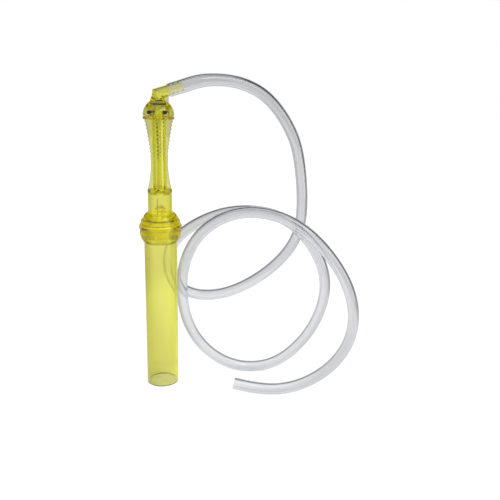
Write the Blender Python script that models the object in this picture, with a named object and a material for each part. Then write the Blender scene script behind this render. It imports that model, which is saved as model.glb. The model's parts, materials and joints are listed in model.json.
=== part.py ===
"""Auto siphon for brewing: a clear barrel, a sliding pump, a finned grip and a swivelling outlet with a hose.

Run it with blender --background --python part.py, or from Blender's text editor. Metres, +Z up. The origin is
on the barrel's axis, on the surface that the barrel stands on, and the outlet arm points along +X.
"""

import math

import bmesh
import bpy
import numpy as np
from mathutils import Matrix, Vector

MM = 0.001

# Fits
GAP = 0.3 * MM  # between pieces that rest on, or are bonded to, one another
RUNNING = 0.4 * MM  # between round pieces that slide or turn in one another

# Barrel, which stands in the liquid
BARREL_LENGTH = 190.5 * MM
BARREL_DIAMETER = 39.6 * MM  # under the collar
BARREL_DRAFT = 0.6 * MM  # how much narrower the open foot is
BARREL_WALL = 1.8 * MM
BARREL_REBATE = 0.5 * MM  # step round its top that the collar is bonded to

# Collar bonded to the barrel's top, with the threaded spigot for the nut
SOCKET_DEPTH = 6.2 * MM
SKIRT_LIP = 0.9 * MM  # wall of the skirt at its thin edge
COLLAR_FLARE = 4.2 * MM  # how far the collar's belly stands out from the skirt's edge
COLLAR_HEIGHT = 14.3 * MM  # from the skirt's edge to the ledge under the nut
BELLY_HEIGHT = 10.5 * MM
BELLY_BULGE = 0.8 * MM  # of the skirt's outline below the belly
COLLAR_CHAMFER = 0.5 * MM
STOP_ROOM = 4.7 * MM  # space over the barrel's top for the stop ring
SHOULDER_THICKNESS = 3.0 * MM
SHOULDER_CLEARANCE = 0.8 * MM
SPIGOT_WALL = 3.6 * MM

# Gland: soft seal, thrust ring and nut
SEAL_WIDTH = 2.2 * MM
SEAL_HEIGHT = 6.2 * MM
SEAL_GROOVE = 0.6 * MM
THRUST_ENTRY = 2.7 * MM  # how deep the ring sits in the spigot
THRUST_TRAVEL = 0.6 * MM  # left for tightening, between the ring's flange and the spigot
THRUST_FLANGE = 1.9 * MM
NUT_CROWN = 8.9 * MM  # from the face on the thrust ring to the nut's top
NUT_WALL = 2.2 * MM  # outside the thread, in the grooves between the beads
NUT_BEAD = 1.9 * MM  # how far the large bead stands out of the wall
NUT_SMALL_BEAD = 0.7 * MM
NUT_GROOVE_HEIGHT = 3.0 * MM  # of the groove between the beads, over the middle of the thread
NUT_CROWN_FOOT = 1.9 * MM  # height of the crown's foot over the face on the thrust ring
NUT_CROWN_STEP = 1.3 * MM  # how far the crown's foot stands in from the wall
NUT_NOTCH = 0.6 * MM  # round the crown's foot
NUT_CROWN_BULGE = 0.5 * MM
NUT_LIP = 2.0 * MM  # wall of the crown at the nut's top

# Pump tube, which slides in the gland
PUMP_DIAMETER = 28.8 * MM
PUMP_WALL = 2.0 * MM
PUMP_EXPOSED = 25.8 * MM  # between the nut and the grip when it is pulled out
STOP_STEP = 1.8 * MM  # how far the stop ring stands out of the tube
STOP_HEIGHT = 2.4 * MM
STOP_SEAT = 0.6 * MM  # depth of the ring's groove
STOP_REST_GAP = 1.2 * MM  # under the collar's shoulder when the tube is pulled out
PUMP_LIP = 1.2 * MM  # tube left under the stop ring

# Inlet valve in the pump tube's foot
INLET_HEIGHT = 5.0 * MM
INLET_PORT = 16.0 * MM
INLET_ARMS = 3
INLET_ARM_WIDTH = 2.2 * MM
INLET_ARM_FOOT = 0.5 * MM  # of the arms over the tube's end
INLET_ARM_HEIGHT = 3.0 * MM
INLET_HUB_WALL = 1.5 * MM
INLET_HUB_DROP = 1.0 * MM  # of the hub's top under the seat
POPPET_STEM = 5.0 * MM
POPPET_OVERLAP = 1.5 * MM  # of the washer over the port
POPPET_WASHER = 1.5 * MM
POPPET_FLANGE = 2.0 * MM
POPPET_BODY = 9.0 * MM
POPPET_NECK_HEIGHT = 25.0 * MM  # from the flange to the barbs of the arrow head
POPPET_BARB = 12.8 * MM
POPPET_BARB_EDGE = 1.2 * MM
POPPET_TIP_HEIGHT = 5.3 * MM
POPPET_TIP = 1.6 * MM

# Grip: a tube with four fins that narrow at the waist
PLATE_THICKNESS = 2.4 * MM
PLUG_DEPTH = 3.0 * MM
GRIP_LENGTH = 81.2 * MM
GRIP_TUBE = 15.0 * MM
GRIP_BORE = 10.0 * MM
FIN_COUNT = 4
FIN_STEPS = 8  # points along the smooth part of an edge
FIN_THICKNESS = 2.4 * MM
FIN_FOOT = 13.9 * MM  # half width over the fins at the plate, at the waist and under the flange
FIN_WAIST = 9.9 * MM
FIN_TOP = 16.6 * MM
WAIST_HEIGHT = 30.7 * MM
FOOT_CURVE = 1.85  # powers of the two flares
TOP_CURVE = 1.55
TOOTH_COUNT = 10
TOOTH_PITCH = 4.4 * MM
TOOTH_DEPTH = 1.3 * MM
TOOTH_VALLEY = 0.55  # share of the pitch from one tooth's peak to the next one's foot
FLANGE_DIAMETER = 35.8 * MM
FLANGE_THICKNESS = 3.5 * MM
GRIP_CHAMFER = 0.6 * MM

# Swivel: the grip's spigot, two cross pins in its groove and a sealing ring
SWIVEL_DIAMETER = 20.6 * MM
SWIVEL_HEIGHT = 11.0 * MM
PIN_DIAMETER = 3.8 * MM
PIN_HEIGHT = 4.5 * MM  # over the flange
PIN_BITE = 3.2 * MM  # how far a pin reaches into the spigot
PIN_SET_BACK = 2.0 * MM  # of its front end from the rim's outside
PIN_SHORT = 0.8 * MM  # of its back end from the socket's outside
RING_SECTION = 1.6 * MM
RING_HEIGHT = 8.8 * MM  # over the flange
RING_BITE = 1.3 * MM

# Outlet head: dome, socket, elbow and barb in one moulding
HEAD_LIFT = 0.7 * MM  # open groove between the flange and the dome's rim
HEAD_WALL = 1.6 * MM
RIM_HEIGHT = 2.4 * MM
DOME_HEIGHT = 13.2 * MM
DOME_TOP = 20.4 * MM  # diameter where the dome turns into the neck
DOME_BULGE = 1.6 * MM
NECK_HEIGHT = 7.8 * MM
NECK_DIAMETER = 13.4 * MM
NECK_BULGE = 0.7 * MM
SOCKET_WALL = 1.9 * MM
SOCKET_LIFT = 1.4 * MM  # of the socket's mouth over the dome's rim
SOCKET_FREE = 9.5 * MM  # height of the socket that stands free inside the dome
DISC_INSET = 0.3 * MM  # of the disc's edge from the spigot's
DISC_THICKNESS = 1.4 * MM
DISC_LIFT = 1.5 * MM
CHAMBER_SPARE = 0.4 * MM  # over the lifted disc
CHAMBER_ROOM = 0.6 * MM  # round the disc
ELBOW_DIAMETER = 12.8 * MM
ARM_DIAMETER = 12.8 * MM
ELBOW_BORE = 9.0 * MM
ELBOW_RISE = math.radians(17.6)  # of the arm over the horizontal
ELBOW_HEIGHT = 1.0 * MM  # of the two axes' crossing over the neck's top
ARM_LENGTH = 12.7 * MM  # from the crossing to the barb
BARB_LENGTH = 16.2 * MM
BARB_ROOT = 10.2 * MM
BARB_PEAK = 11.9 * MM
BARB_COUNT = 3
BARB_FLAT = 0.6  # share of a ridge's length that is plain
WEB_THICKNESS = 1.6 * MM
WEB_REACH = 11.8 * MM  # from the axis
WEB_ROOT = 4.1 * MM  # from the axis, inside the neck

# Hose
HOSE_DIAMETER = 14.0 * MM
HOSE_BORE = 10.0 * MM
HOSE_STRETCH = 1.4 * MM  # growth of the outside where it is pushed over the barb
HOSE_TAPER = 50.0 * MM  # past the barb's tip, to its own size
HOSE_STEP = 2.1  # diameters between the tube's rings
HOSE_SIDES_SETTING = 4
BORE_SIDES_SETTING = 3
# Centre of the hose past the barb, in mm: over and down behind, round the back of the barrel, one full loop
# that stands on the surface, and a last half loop to the bare end at the front
HOSE_ROUTE = (
    (46, 2, 372.2), (67, 8.5, 374.4), (98, 22, 370), (123, 32, 357), (145, 38, 333), (161, 42, 303),
    (169, 44, 270), (173, 45, 231), (168, 46, 184), (143, 47, 146), (109, 48, 119), (76, 48, 104),
    (50, 46, 101), (27, 43, 107), (10, 41, 123), (3, 40, 146), (8, 38, 168), (22, 37, 186), (43, 35, 201),
    (74, 33, 214), (114, 30, 218), (152, 28, 208), (184, 27, 179), (205, 27, 131), (199, 28, 83),
    (173, 30, 38), (136, 31, 11), (96, 29, 9.2), (58, 25, 30), (33, 20, 67), (24, 16, 107), (28, 12, 155),
    (51, 9, 196), (96, 6, 220), (156, 0, 212), (206, -8, 171), (236, -17, 107), (231, -21, 65),
    (201, -27, 28), (144, -32, 7.4), (92, -32, 14),
)
ROUTE_BARREL = 19.8 * MM  # radius of the barrel that the route was laid round
ROUTE_HOSE = 7.0 * MM  # radius of the hose that it was laid with
ROUTE_TIP = 366.4 * MM  # height of the barb's tip that it starts from
ROUTE_FINENESS = 24  # points read from the smooth curve between two of the route's points
FAR_APART = 6  # diameters along the hose past which two places count as separate stretches

# Facets round a full turn
WIDE = 40
MIDDLE = 32
SMALL = 24
ARC_STEPS = 5
SHARP_ANGLE = math.radians(32)  # edges sharper than this are not shaded smooth

# Sizes worked out from those above: barrel, collar and gland
BARREL_R = BARREL_DIAMETER / 2
BARREL_BORE_R = BARREL_R - BARREL_WALL
REBATE_R = BARREL_R - BARREL_REBATE
SOCKET_R = REBATE_R + GAP
SKIRT_R = SOCKET_R + SKIRT_LIP
SKIRT_Z = BARREL_LENGTH - SOCKET_DEPTH
REBATE_Z = SKIRT_Z - GAP
SOCKET_TOP_Z = BARREL_LENGTH + GAP
COLLAR_R = SKIRT_R + COLLAR_FLARE
LEDGE_Z = SKIRT_Z + COLLAR_HEIGHT
PUMP_R = PUMP_DIAMETER / 2
PUMP_BORE_R = PUMP_R - PUMP_WALL
SHOULDER_R = PUMP_R + SHOULDER_CLEARANCE
SHOULDER_Z = SOCKET_TOP_Z + STOP_ROOM
SEAL_FLOOR_Z = SHOULDER_Z + SHOULDER_THICKNESS
SEAL_Z = SEAL_FLOOR_Z + GAP
SEAL_TOP_Z = SEAL_Z + SEAL_HEIGHT
SEAL_BORE_R = PUMP_R + GAP
SEAL_R = SEAL_BORE_R + SEAL_WIDTH
POCKET_R = SEAL_R + GAP
SPIGOT_R = POCKET_R + SPIGOT_WALL
THRUST_Z = SEAL_TOP_Z + GAP
SPIGOT_TOP_Z = THRUST_Z + THRUST_ENTRY
THRUST_FLANGE_Z = SPIGOT_TOP_Z + THRUST_TRAVEL
THRUST_TOP_Z = THRUST_FLANGE_Z + THRUST_FLANGE
NUT_Z = LEDGE_Z + GAP
NUT_SEAT_Z = THRUST_TOP_Z + GAP
NUT_TOP_Z = NUT_SEAT_Z + NUT_CROWN
NUT_BORE_R = PUMP_R + RUNNING
NUT_INNER_R = SPIGOT_R + GAP
NUT_R = NUT_INNER_R + NUT_WALL

# Pump tube, inlet valve and grip
STOP_TOP_Z = SHOULDER_Z - STOP_REST_GAP
STOP_Z = STOP_TOP_Z - STOP_HEIGHT
STOP_R = PUMP_R + STOP_STEP
STOP_SEAT_R = PUMP_R - STOP_SEAT
PUMP_Z = STOP_Z - GAP - PUMP_LIP
PLATE_Z = NUT_TOP_Z + PUMP_EXPOSED
INLET_TOP_Z = PUMP_Z + INLET_HEIGHT
INLET_R = PUMP_BORE_R - GAP
PORT_R = INLET_PORT / 2
STEM_R = POPPET_STEM / 2
HUB_BORE_R = STEM_R + RUNNING
HUB_R = HUB_BORE_R + INLET_HUB_WALL
WASHER_R = PORT_R + POPPET_OVERLAP
WASHER_Z = INLET_TOP_Z + GAP
POPPET_Z = WASHER_Z + POPPET_WASHER + GAP
PLATE_R = PUMP_R
PLATE_TOP_Z = PLATE_Z + PLATE_THICKNESS
GRIP_TUBE_R = GRIP_TUBE / 2
GRIP_BORE_R = GRIP_BORE / 2
FLANGE_Z = PLATE_TOP_Z + GRIP_LENGTH
FLANGE_TOP_Z = FLANGE_Z + FLANGE_THICKNESS
FLANGE_R = FLANGE_DIAMETER / 2

# Swivel, outlet head and hose
SWIVEL_R = SWIVEL_DIAMETER / 2
SWIVEL_TOP_Z = FLANGE_TOP_Z + SWIVEL_HEIGHT
PIN_R = PIN_DIAMETER / 2
PIN_Z = FLANGE_TOP_Z + PIN_HEIGHT
PIN_X = SWIVEL_R - PIN_BITE + PIN_R
PIN_GROOVE_R = SWIVEL_R - PIN_BITE - GAP
RING_Z = FLANGE_TOP_Z + RING_HEIGHT
RING_R = RING_SECTION / 2
RING_CENTRE_R = SWIVEL_R - RING_BITE + RING_R
RIM_Z = FLANGE_TOP_Z + HEAD_LIFT
RIM_TOP_Z = RIM_Z + RIM_HEIGHT
DOME_TOP_Z = RIM_TOP_Z + DOME_HEIGHT
DOME_TOP_R = DOME_TOP / 2
NECK_Z = DOME_TOP_Z + NECK_HEIGHT
NECK_R = NECK_DIAMETER / 2
SWIVEL_BORE_R = SWIVEL_R + RUNNING
HEAD_SOCKET_R = SWIVEL_BORE_R + SOCKET_WALL
DISC_R = SWIVEL_R - DISC_INSET
DISC_Z = SWIVEL_TOP_Z + GAP
CHAMBER_R = DISC_R + CHAMBER_ROOM
CHAMBER_TOP_Z = DISC_Z + DISC_THICKNESS + DISC_LIFT + CHAMBER_SPARE
ELBOW_R = ELBOW_DIAMETER / 2
ARM_R = ARM_DIAMETER / 2
ELBOW_BORE_R = ELBOW_BORE / 2
CROSSING_Z = NECK_Z + ELBOW_HEIGHT
ARM_DIRECTION = Vector((math.cos(ELBOW_RISE), 0, math.sin(ELBOW_RISE)))
BARB_ROOT_R = BARB_ROOT / 2
BARB_PEAK_R = BARB_PEAK / 2
BARB_TIP = ARM_LENGTH + BARB_LENGTH
HOSE_R = HOSE_DIAMETER / 2
HOSE_BORE_R = HOSE_BORE / 2

CUT_PAST = 2 * MM  # how far a cutter runs past what it cuts
SUNK = 0.6 * MM  # how far a joined shape runs into what carries it
MERGE = 0.001 * MM  # points closer than this are one


def clear_scene():
    """Remove whatever objects the scene holds."""
    for obj in list(bpy.data.objects):
        bpy.data.objects.remove(obj, do_unlink=True)


def finish(name, hex_colour, roughness, transmission=0.0):
    """A plain Principled material of one colour."""
    channels = [int(hex_colour[i : i + 2], 16) / 255 for i in (1, 3, 5)]
    linear = [c / 12.92 if c <= 0.04045 else ((c + 0.055) / 1.055) ** 2.4 for c in channels]
    material = bpy.data.materials.new(name)
    material.use_nodes = True
    shader = material.node_tree.nodes["Principled BSDF"]
    shader.inputs["Base Color"].default_value = (*linear, 1)
    shader.inputs["Roughness"].default_value = roughness
    shader.inputs["Metallic"].default_value = 0.0
    shader.inputs["Transmission Weight"].default_value = transmission
    material.diffuse_color = (*linear, 1)
    return material


def body(name):
    """An empty on the axis that carries the pieces of one moving body."""
    empty = bpy.data.objects.new(name + "_body", None)
    bpy.context.scene.collection.objects.link(empty)
    return empty


def arc(start, end, bulge):
    """Points past start up to end, on a shallow arc that stands bulge to the right of the straight line."""
    (r0, z0), (r1, z1) = start, end
    length = math.hypot(r1 - r0, z1 - z0)
    side = ((z1 - z0) / length, -(r1 - r0) / length)
    shares = [i / ARC_STEPS for i in range(1, ARC_STEPS + 1)]
    return [
        (
            r0 + (r1 - r0) * t + side[0] * 4 * bulge * t * (1 - t),
            z0 + (z1 - z0) * t + side[1] * 4 * bulge * t * (1 - t),
        )
        for t in shares
    ]


def turned(outline, segments):
    """A closed outline of (radius, height) points turned round Z, with no wall along the axis itself."""
    shape = bmesh.new()
    corners = [shape.verts.new((r, 0, z)) for r, z in outline]
    pairs = zip(corners, corners[1:] + corners[:1])
    lines = [shape.edges.new(pair) for pair in pairs if any(v.co.x > 0 for v in pair)]
    bmesh.ops.spin(
        shape,
        geom=corners + lines,
        cent=(0, 0, 0),
        axis=(0, 0, 1),
        angle=2 * math.pi,
        steps=segments,
        use_merge=True,
    )
    bmesh.ops.remove_doubles(shape, verts=shape.verts, dist=MERGE)
    bmesh.ops.recalc_face_normals(shape, faces=shape.faces)
    return shape


def ring_outline(inner, outer, bottom, top):
    """A plain rectangular ring's outline."""
    return [(inner, bottom), (outer, bottom), (outer, top), (inner, top)]


def plate(outline, thickness):
    """An outline of (x, z) points in the XZ plane, extruded to both sides of it."""
    shape = bmesh.new()
    face = shape.faces.new([shape.verts.new((x, -thickness / 2, z)) for x, z in outline])
    raised = bmesh.ops.extrude_face_region(shape, geom=[face])["geom"]
    moved = [item for item in raised if isinstance(item, bmesh.types.BMVert)]
    bmesh.ops.translate(shape, verts=moved, vec=(0, thickness, 0))
    bmesh.ops.recalc_face_normals(shape, faces=shape.faces)
    return shape


def rod(radius, start, end, segments):
    """A straight rod between two points."""
    start, end = Vector(start), Vector(end)
    shape = bmesh.new()
    turn = (end - start).to_track_quat("Z", "X").to_matrix().to_4x4()
    bmesh.ops.create_cone(
        shape,
        cap_ends=True,
        segments=segments,
        radius1=radius,
        radius2=radius,
        depth=(end - start).length,
        matrix=Matrix.Translation((start + end) / 2) @ turn,
    )
    return shape


def bent_pipe(foot_z, leg_radius, arm_outline, segments):
    """A solid pipe up the axis from foot_z, mitred at the elbow's crossing, and on along the arm.

    arm_outline holds (distance from the crossing, radius) pairs. The mitre's ring lies in the plane that
    halves the bend, so both legs keep their full width.
    """
    crossing = Vector((0, 0, CROSSING_Z))
    across = Vector((0, 1, 0))
    upright = ARM_DIRECTION.cross(across)
    mitre_slope = ARM_DIRECTION.x / (1 + ARM_DIRECTION.z)
    turns = [2 * math.pi * i / segments for i in range(segments)]
    leg = [(leg_radius * math.cos(a), leg_radius * math.sin(a)) for a in turns]
    rings = [
        [Vector((x, y, foot_z)) for x, y in leg],
        [Vector((x, y, CROSSING_Z - x * mitre_slope)) for x, y in leg],
    ]
    for distance, radius in arm_outline:
        centre = crossing + ARM_DIRECTION * distance
        rings.append([centre + (across * math.sin(a) - upright * math.cos(a)) * radius for a in turns])
    shape = bmesh.new()
    rows = [[shape.verts.new(p) for p in ring] for ring in rings]
    for low, high in zip(rows, rows[1:]):
        for i in range(segments):
            j = (i + 1) % segments
            shape.faces.new((low[i], low[j], high[j], high[i]))
    shape.faces.new(list(reversed(rows[0])))
    shape.faces.new(rows[-1])
    bmesh.ops.recalc_face_normals(shape, faces=shape.faces)
    return shape


def joined(shapes):
    """Several separate shapes in one mesh."""
    whole = bmesh.new()
    for shape in shapes:
        mesh = bpy.data.meshes.new("joined")
        shape.to_mesh(mesh)
        shape.free()
        whole.from_mesh(mesh)
        bpy.data.meshes.remove(mesh)
    return whole


def spread(outline, thickness, count):
    """Plates of one outline, spread evenly round Z."""
    plates = []
    for i in range(count):
        shape = plate(outline, thickness)
        turn = Matrix.Rotation(2 * math.pi * i / count, 3, "Z")
        bmesh.ops.rotate(shape, verts=shape.verts, matrix=turn)
        plates.append(shape)
    return joined(plates)


def add_piece(name, shape, material, carrier, foot_z=0.0):
    """An object of that name from a bmesh, with its origin on the axis at foot_z, carried by an empty."""
    bmesh.ops.translate(shape, verts=shape.verts, vec=(0, 0, -foot_z))
    mesh = bpy.data.meshes.new(name)
    shape.to_mesh(mesh)
    shape.free()
    mesh.materials.append(material)
    mesh.shade_smooth()
    mesh.set_sharp_from_angle(angle=SHARP_ANGLE)
    piece = bpy.data.objects.new(name, mesh)
    bpy.context.scene.collection.objects.link(piece)
    piece.parent = carrier
    piece.location = (0, 0, foot_z)
    return piece


def add_tool(name, shape):
    """A hidden shape that a Boolean joins to, or cuts from, a piece."""
    mesh = bpy.data.meshes.new(name)
    shape.to_mesh(mesh)
    shape.free()
    tool = bpy.data.objects.new(name, mesh)
    bpy.context.scene.collection.objects.link(tool)
    tool.hide_render = True
    tool.display_type = "WIRE"
    return tool


def boolean(piece, tool, operation):
    """Join a tool to a piece, or cut it out."""
    step = piece.modifiers.new(tool.name, "BOOLEAN")
    step.operation = operation
    step.object = tool
    step.solver = "EXACT"


def intake_tube(material, carrier):
    """The barrel: an open tube, slightly wider at the top, with a rebate under the collar."""
    foot_r = BARREL_R - BARREL_DRAFT / 2
    outline = [
        (foot_r - BARREL_WALL, 0),
        (foot_r, 0),
        (BARREL_R, REBATE_Z),
        (REBATE_R, REBATE_Z),
        (REBATE_R, BARREL_LENGTH),
        (BARREL_BORE_R, BARREL_LENGTH),
    ]
    add_piece("intake_tube", turned(outline, WIDE), material, carrier)


def barrel_collar(material, carrier):
    """The collar: a socket over the barrel, a bellied skirt, a shoulder and a spigot that holds the seal."""
    skirt = (SKIRT_R, SKIRT_Z)
    belly = (COLLAR_R, SKIRT_Z + BELLY_HEIGHT)
    outline = [
        (SOCKET_R, SKIRT_Z),
        skirt,
        *arc(skirt, belly, BELLY_BULGE),
        (COLLAR_R, LEDGE_Z - COLLAR_CHAMFER),
        (COLLAR_R - COLLAR_CHAMFER, LEDGE_Z),
        (SPIGOT_R, LEDGE_Z),
        (SPIGOT_R, SPIGOT_TOP_Z),
        (POCKET_R, SPIGOT_TOP_Z),
        (POCKET_R, SEAL_FLOOR_Z),
        (SHOULDER_R, SEAL_FLOOR_Z),
        (SHOULDER_R, SHOULDER_Z),
        (BARREL_BORE_R, SHOULDER_Z),
        (BARREL_BORE_R, SOCKET_TOP_Z),
        (SOCKET_R, SOCKET_TOP_Z),
    ]
    add_piece("barrel_collar", turned(outline, WIDE), material, carrier, SKIRT_Z)


def gland_seal(material, carrier):
    """The soft seal round the pump tube, with a groove round its inside."""
    middle = (SEAL_Z + SEAL_TOP_Z) / 2
    half = SEAL_HEIGHT / 6
    outline = [
        (SEAL_BORE_R, SEAL_Z),
        (SEAL_R, SEAL_Z),
        (SEAL_R, SEAL_TOP_Z),
        (SEAL_BORE_R, SEAL_TOP_Z),
        (SEAL_BORE_R, middle + half),
        (SEAL_BORE_R + SEAL_GROOVE, middle),
        (SEAL_BORE_R, middle - half),
    ]
    add_piece("gland_seal", turned(outline, WIDE), material, carrier, SEAL_Z)


def thrust_ring(material, carrier):
    """The flanged ring that presses the seal when the nut turns."""
    bore = NUT_BORE_R
    outline = [
        (bore, THRUST_Z),
        (SEAL_R, THRUST_Z),
        (SEAL_R, THRUST_FLANGE_Z),
        (SPIGOT_R - GAP, THRUST_FLANGE_Z),
        (SPIGOT_R - GAP, THRUST_TOP_Z),
        (bore, THRUST_TOP_Z),
    ]
    add_piece("thrust_ring", turned(outline, WIDE), material, carrier, THRUST_Z)


def gland_nut(material, carrier):
    """The nut: a large and a small bead to grip it by, a round crown and the thread's room inside."""
    groove = (NUT_R, (NUT_Z + NUT_SEAT_Z) / 2 + NUT_GROOVE_HEIGHT)
    foot = (NUT_R + NUT_BEAD / 3, NUT_Z)
    neck = (NUT_R - NUT_CROWN_STEP, NUT_SEAT_Z + NUT_CROWN_FOOT)
    shoulder = (neck[0] - NUT_NOTCH, neck[1] + NUT_NOTCH / 2)
    lip = (NUT_BORE_R + NUT_LIP, NUT_TOP_Z)
    outline = [
        (NUT_INNER_R, NUT_Z),
        foot,
        *arc(foot, groove, NUT_BEAD),
        *arc(groove, neck, NUT_SMALL_BEAD),
        shoulder,
        *arc(shoulder, lip, NUT_CROWN_BULGE),
        (NUT_BORE_R, NUT_TOP_Z),
        (NUT_BORE_R, NUT_SEAT_Z),
        (NUT_INNER_R, NUT_SEAT_Z),
    ]
    add_piece("gland_nut", turned(outline, WIDE), material, carrier, NUT_Z)


def pump_tube(material, carrier):
    """The sliding tube, with the stop ring's groove round its foot."""
    top = PLATE_Z - GAP
    groove_bottom = STOP_Z - GAP
    groove_top = STOP_TOP_Z + GAP
    outline = [
        (PUMP_BORE_R, PUMP_Z),
        (PUMP_R, PUMP_Z),
        (PUMP_R, groove_bottom),
        (STOP_SEAT_R, groove_bottom),
        (STOP_SEAT_R, groove_top),
        (PUMP_R, groove_top),
        (PUMP_R, top),
        (PUMP_BORE_R, top),
    ]
    add_piece("pump_tube", turned(outline, WIDE), material, carrier, PUMP_Z)


def stop_ring(material, carrier):
    """The ring that keeps the pump tube in the barrel."""
    outline = ring_outline(STOP_SEAT_R + GAP, STOP_R, STOP_Z, STOP_TOP_Z)
    add_piece("stop_ring", turned(outline, WIDE), material, carrier, STOP_Z)


def inlet_seat(material, carrier):
    """The valve seat bonded into the pump tube: a rim, a hub for the poppet's stem and arms between them."""
    rim = ring_outline(PORT_R, INLET_R, PUMP_Z, INLET_TOP_Z)
    seat = add_piece("inlet_seat", turned(rim, MIDDLE), material, carrier, PUMP_Z)
    low = PUMP_Z + INLET_ARM_FOOT
    arm = ring_outline(HUB_BORE_R + SUNK, PORT_R + SUNK, low, low + INLET_ARM_HEIGHT)
    arms = spread(arm, INLET_ARM_WIDTH, INLET_ARMS)
    hub = ring_outline(HUB_BORE_R, HUB_R, PUMP_Z, INLET_TOP_Z - INLET_HUB_DROP)
    boolean(seat, add_tool("inlet_arms", arms), "UNION")
    boolean(seat, add_tool("inlet_hub", turned(hub, SMALL)), "UNION")


def inlet_poppet(material, carrier):
    """The poppet: a guided stem, a flange over the washer and a tall neck with an arrow head."""
    flange_top = POPPET_Z + POPPET_FLANGE
    barb_z = flange_top + POPPET_NECK_HEIGHT
    body_r, barb_r, tip_r = POPPET_BODY / 2, POPPET_BARB / 2, POPPET_TIP / 2
    outline = [
        (0, PUMP_Z),
        (STEM_R, PUMP_Z),
        (STEM_R, POPPET_Z),
        (WASHER_R, POPPET_Z),
        (WASHER_R, flange_top),
        (body_r, flange_top + POPPET_FLANGE),
        (body_r, barb_z),
        (barb_r, barb_z),
        (barb_r, barb_z + POPPET_BARB_EDGE),
        (tip_r, barb_z + POPPET_TIP_HEIGHT),
        (0, barb_z + POPPET_TIP_HEIGHT),
    ]
    add_piece("inlet_poppet", turned(outline, SMALL), material, carrier, PUMP_Z)


def inlet_washer(material, carrier):
    """The soft washer under the poppet's flange."""
    outline = ring_outline(STEM_R + GAP, WASHER_R, WASHER_Z, WASHER_Z + POPPET_WASHER)
    add_piece("inlet_washer", turned(outline, SMALL), material, carrier, WASHER_Z)


def fin_edge(height):
    """Half width over the fins at a height over the plate: a power curve on each side of the waist."""
    if height < WAIST_HEIGHT:
        return FIN_WAIST + (FIN_FOOT - FIN_WAIST) * (1 - height / WAIST_HEIGHT) ** FOOT_CURVE
    over_waist = (height - WAIST_HEIGHT) / (GRIP_LENGTH - WAIST_HEIGHT)
    return FIN_WAIST + (FIN_TOP - FIN_WAIST) * over_waist**TOP_CURVE


def fin_outline():
    """One fin, from inside the tube's wall to its edge: smooth at first, then teeth up to the flange."""
    root = GRIP_BORE_R + (GRIP_TUBE_R - GRIP_BORE_R) / 2
    first_tooth = GRIP_LENGTH - TOOTH_COUNT * TOOTH_PITCH
    smooth = [first_tooth * i / FIN_STEPS for i in range(FIN_STEPS + 1)]
    edge = [(fin_edge(h), PLATE_TOP_Z + h) for h in smooth]
    for i in range(TOOTH_COUNT):
        valley = first_tooth + TOOTH_PITCH * (i + TOOTH_VALLEY)
        peak = first_tooth + TOOTH_PITCH * (i + 1)
        edge.append((fin_edge(valley) - TOOTH_DEPTH, PLATE_TOP_Z + valley))
        edge.append((fin_edge(peak), PLATE_TOP_Z + peak))
    low, high = PLATE_TOP_Z - SUNK, FLANGE_Z + SUNK
    return [(root, low), (edge[0][0], low), *edge, (edge[-1][0], high), (root, high)]


def grip_handle(material, carrier):
    """The grip: plug and plate on the pump tube, a tube with four toothed fins, the flange and the spigot."""
    plug_r = PUMP_BORE_R - GAP
    chamfer = GRIP_CHAMFER
    outline = [
        (GRIP_BORE_R, PLATE_Z - PLUG_DEPTH),
        (plug_r, PLATE_Z - PLUG_DEPTH),
        (plug_r, PLATE_Z),
        (PLATE_R, PLATE_Z),
        (PLATE_R, PLATE_TOP_Z - chamfer),
        (PLATE_R - chamfer, PLATE_TOP_Z),
        (GRIP_TUBE_R, PLATE_TOP_Z),
        (GRIP_TUBE_R, FLANGE_Z),
        (FLANGE_R - chamfer, FLANGE_Z),
        (FLANGE_R, FLANGE_Z + chamfer),
        (FLANGE_R, FLANGE_TOP_Z - chamfer),
        (FLANGE_R - chamfer, FLANGE_TOP_Z),
        (SWIVEL_R, FLANGE_TOP_Z),
        (SWIVEL_R, PIN_Z - PIN_R - GAP),
        (PIN_GROOVE_R, PIN_Z - PIN_R - GAP),
        (PIN_GROOVE_R, PIN_Z + PIN_R + GAP),
        (SWIVEL_R, PIN_Z + PIN_R + GAP),
        (SWIVEL_R, RING_Z - RING_R - GAP),
        (SWIVEL_R - RING_BITE - GAP, RING_Z - RING_R - GAP),
        (SWIVEL_R - RING_BITE - GAP, RING_Z + RING_R + GAP),
        (SWIVEL_R, RING_Z + RING_R + GAP),
        (SWIVEL_R, SWIVEL_TOP_Z),
        (GRIP_BORE_R, SWIVEL_TOP_Z),
    ]
    grip = add_piece("grip_handle", turned(outline, MIDDLE), material, carrier, PLATE_Z)
    fins = spread(fin_outline(), FIN_THICKNESS, FIN_COUNT)
    boolean(grip, add_tool("grip_fins", fins), "UNION")


def head_o_ring(material, carrier):
    """The ring in the spigot's upper groove, which seals the swivel."""
    sides = 8
    angles = [2 * math.pi * i / sides for i in range(sides)]
    outline = [(RING_CENTRE_R + RING_R * math.cos(a), RING_Z + RING_R * math.sin(a)) for a in angles]
    add_piece("head_o_ring", turned(outline, MIDDLE), material, carrier, RING_Z)


def outlet_disc(material, carrier):
    """The soft disc that rests on the spigot's mouth and lifts to let the liquid out."""
    top = DISC_Z + DISC_THICKNESS
    outline = [(0, DISC_Z), (DISC_R, DISC_Z), (DISC_R, top), (0, top)]
    add_piece("outlet_disc", turned(outline, SMALL), material, carrier, DISC_Z)


def barb_outline():
    """The arm and its barb, as (distance, radius): each ridge rises towards the elbow and drops square."""
    outline = [(ARM_LENGTH, ARM_R), (ARM_LENGTH, BARB_ROOT_R)]
    pitch = BARB_LENGTH / BARB_COUNT
    for i in range(BARB_COUNT):
        start = ARM_LENGTH + pitch * i
        peak = start + pitch * BARB_FLAT
        outline += [(peak, BARB_ROOT_R), (peak, BARB_PEAK_R), (start + pitch, BARB_ROOT_R)]
    return outline


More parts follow.
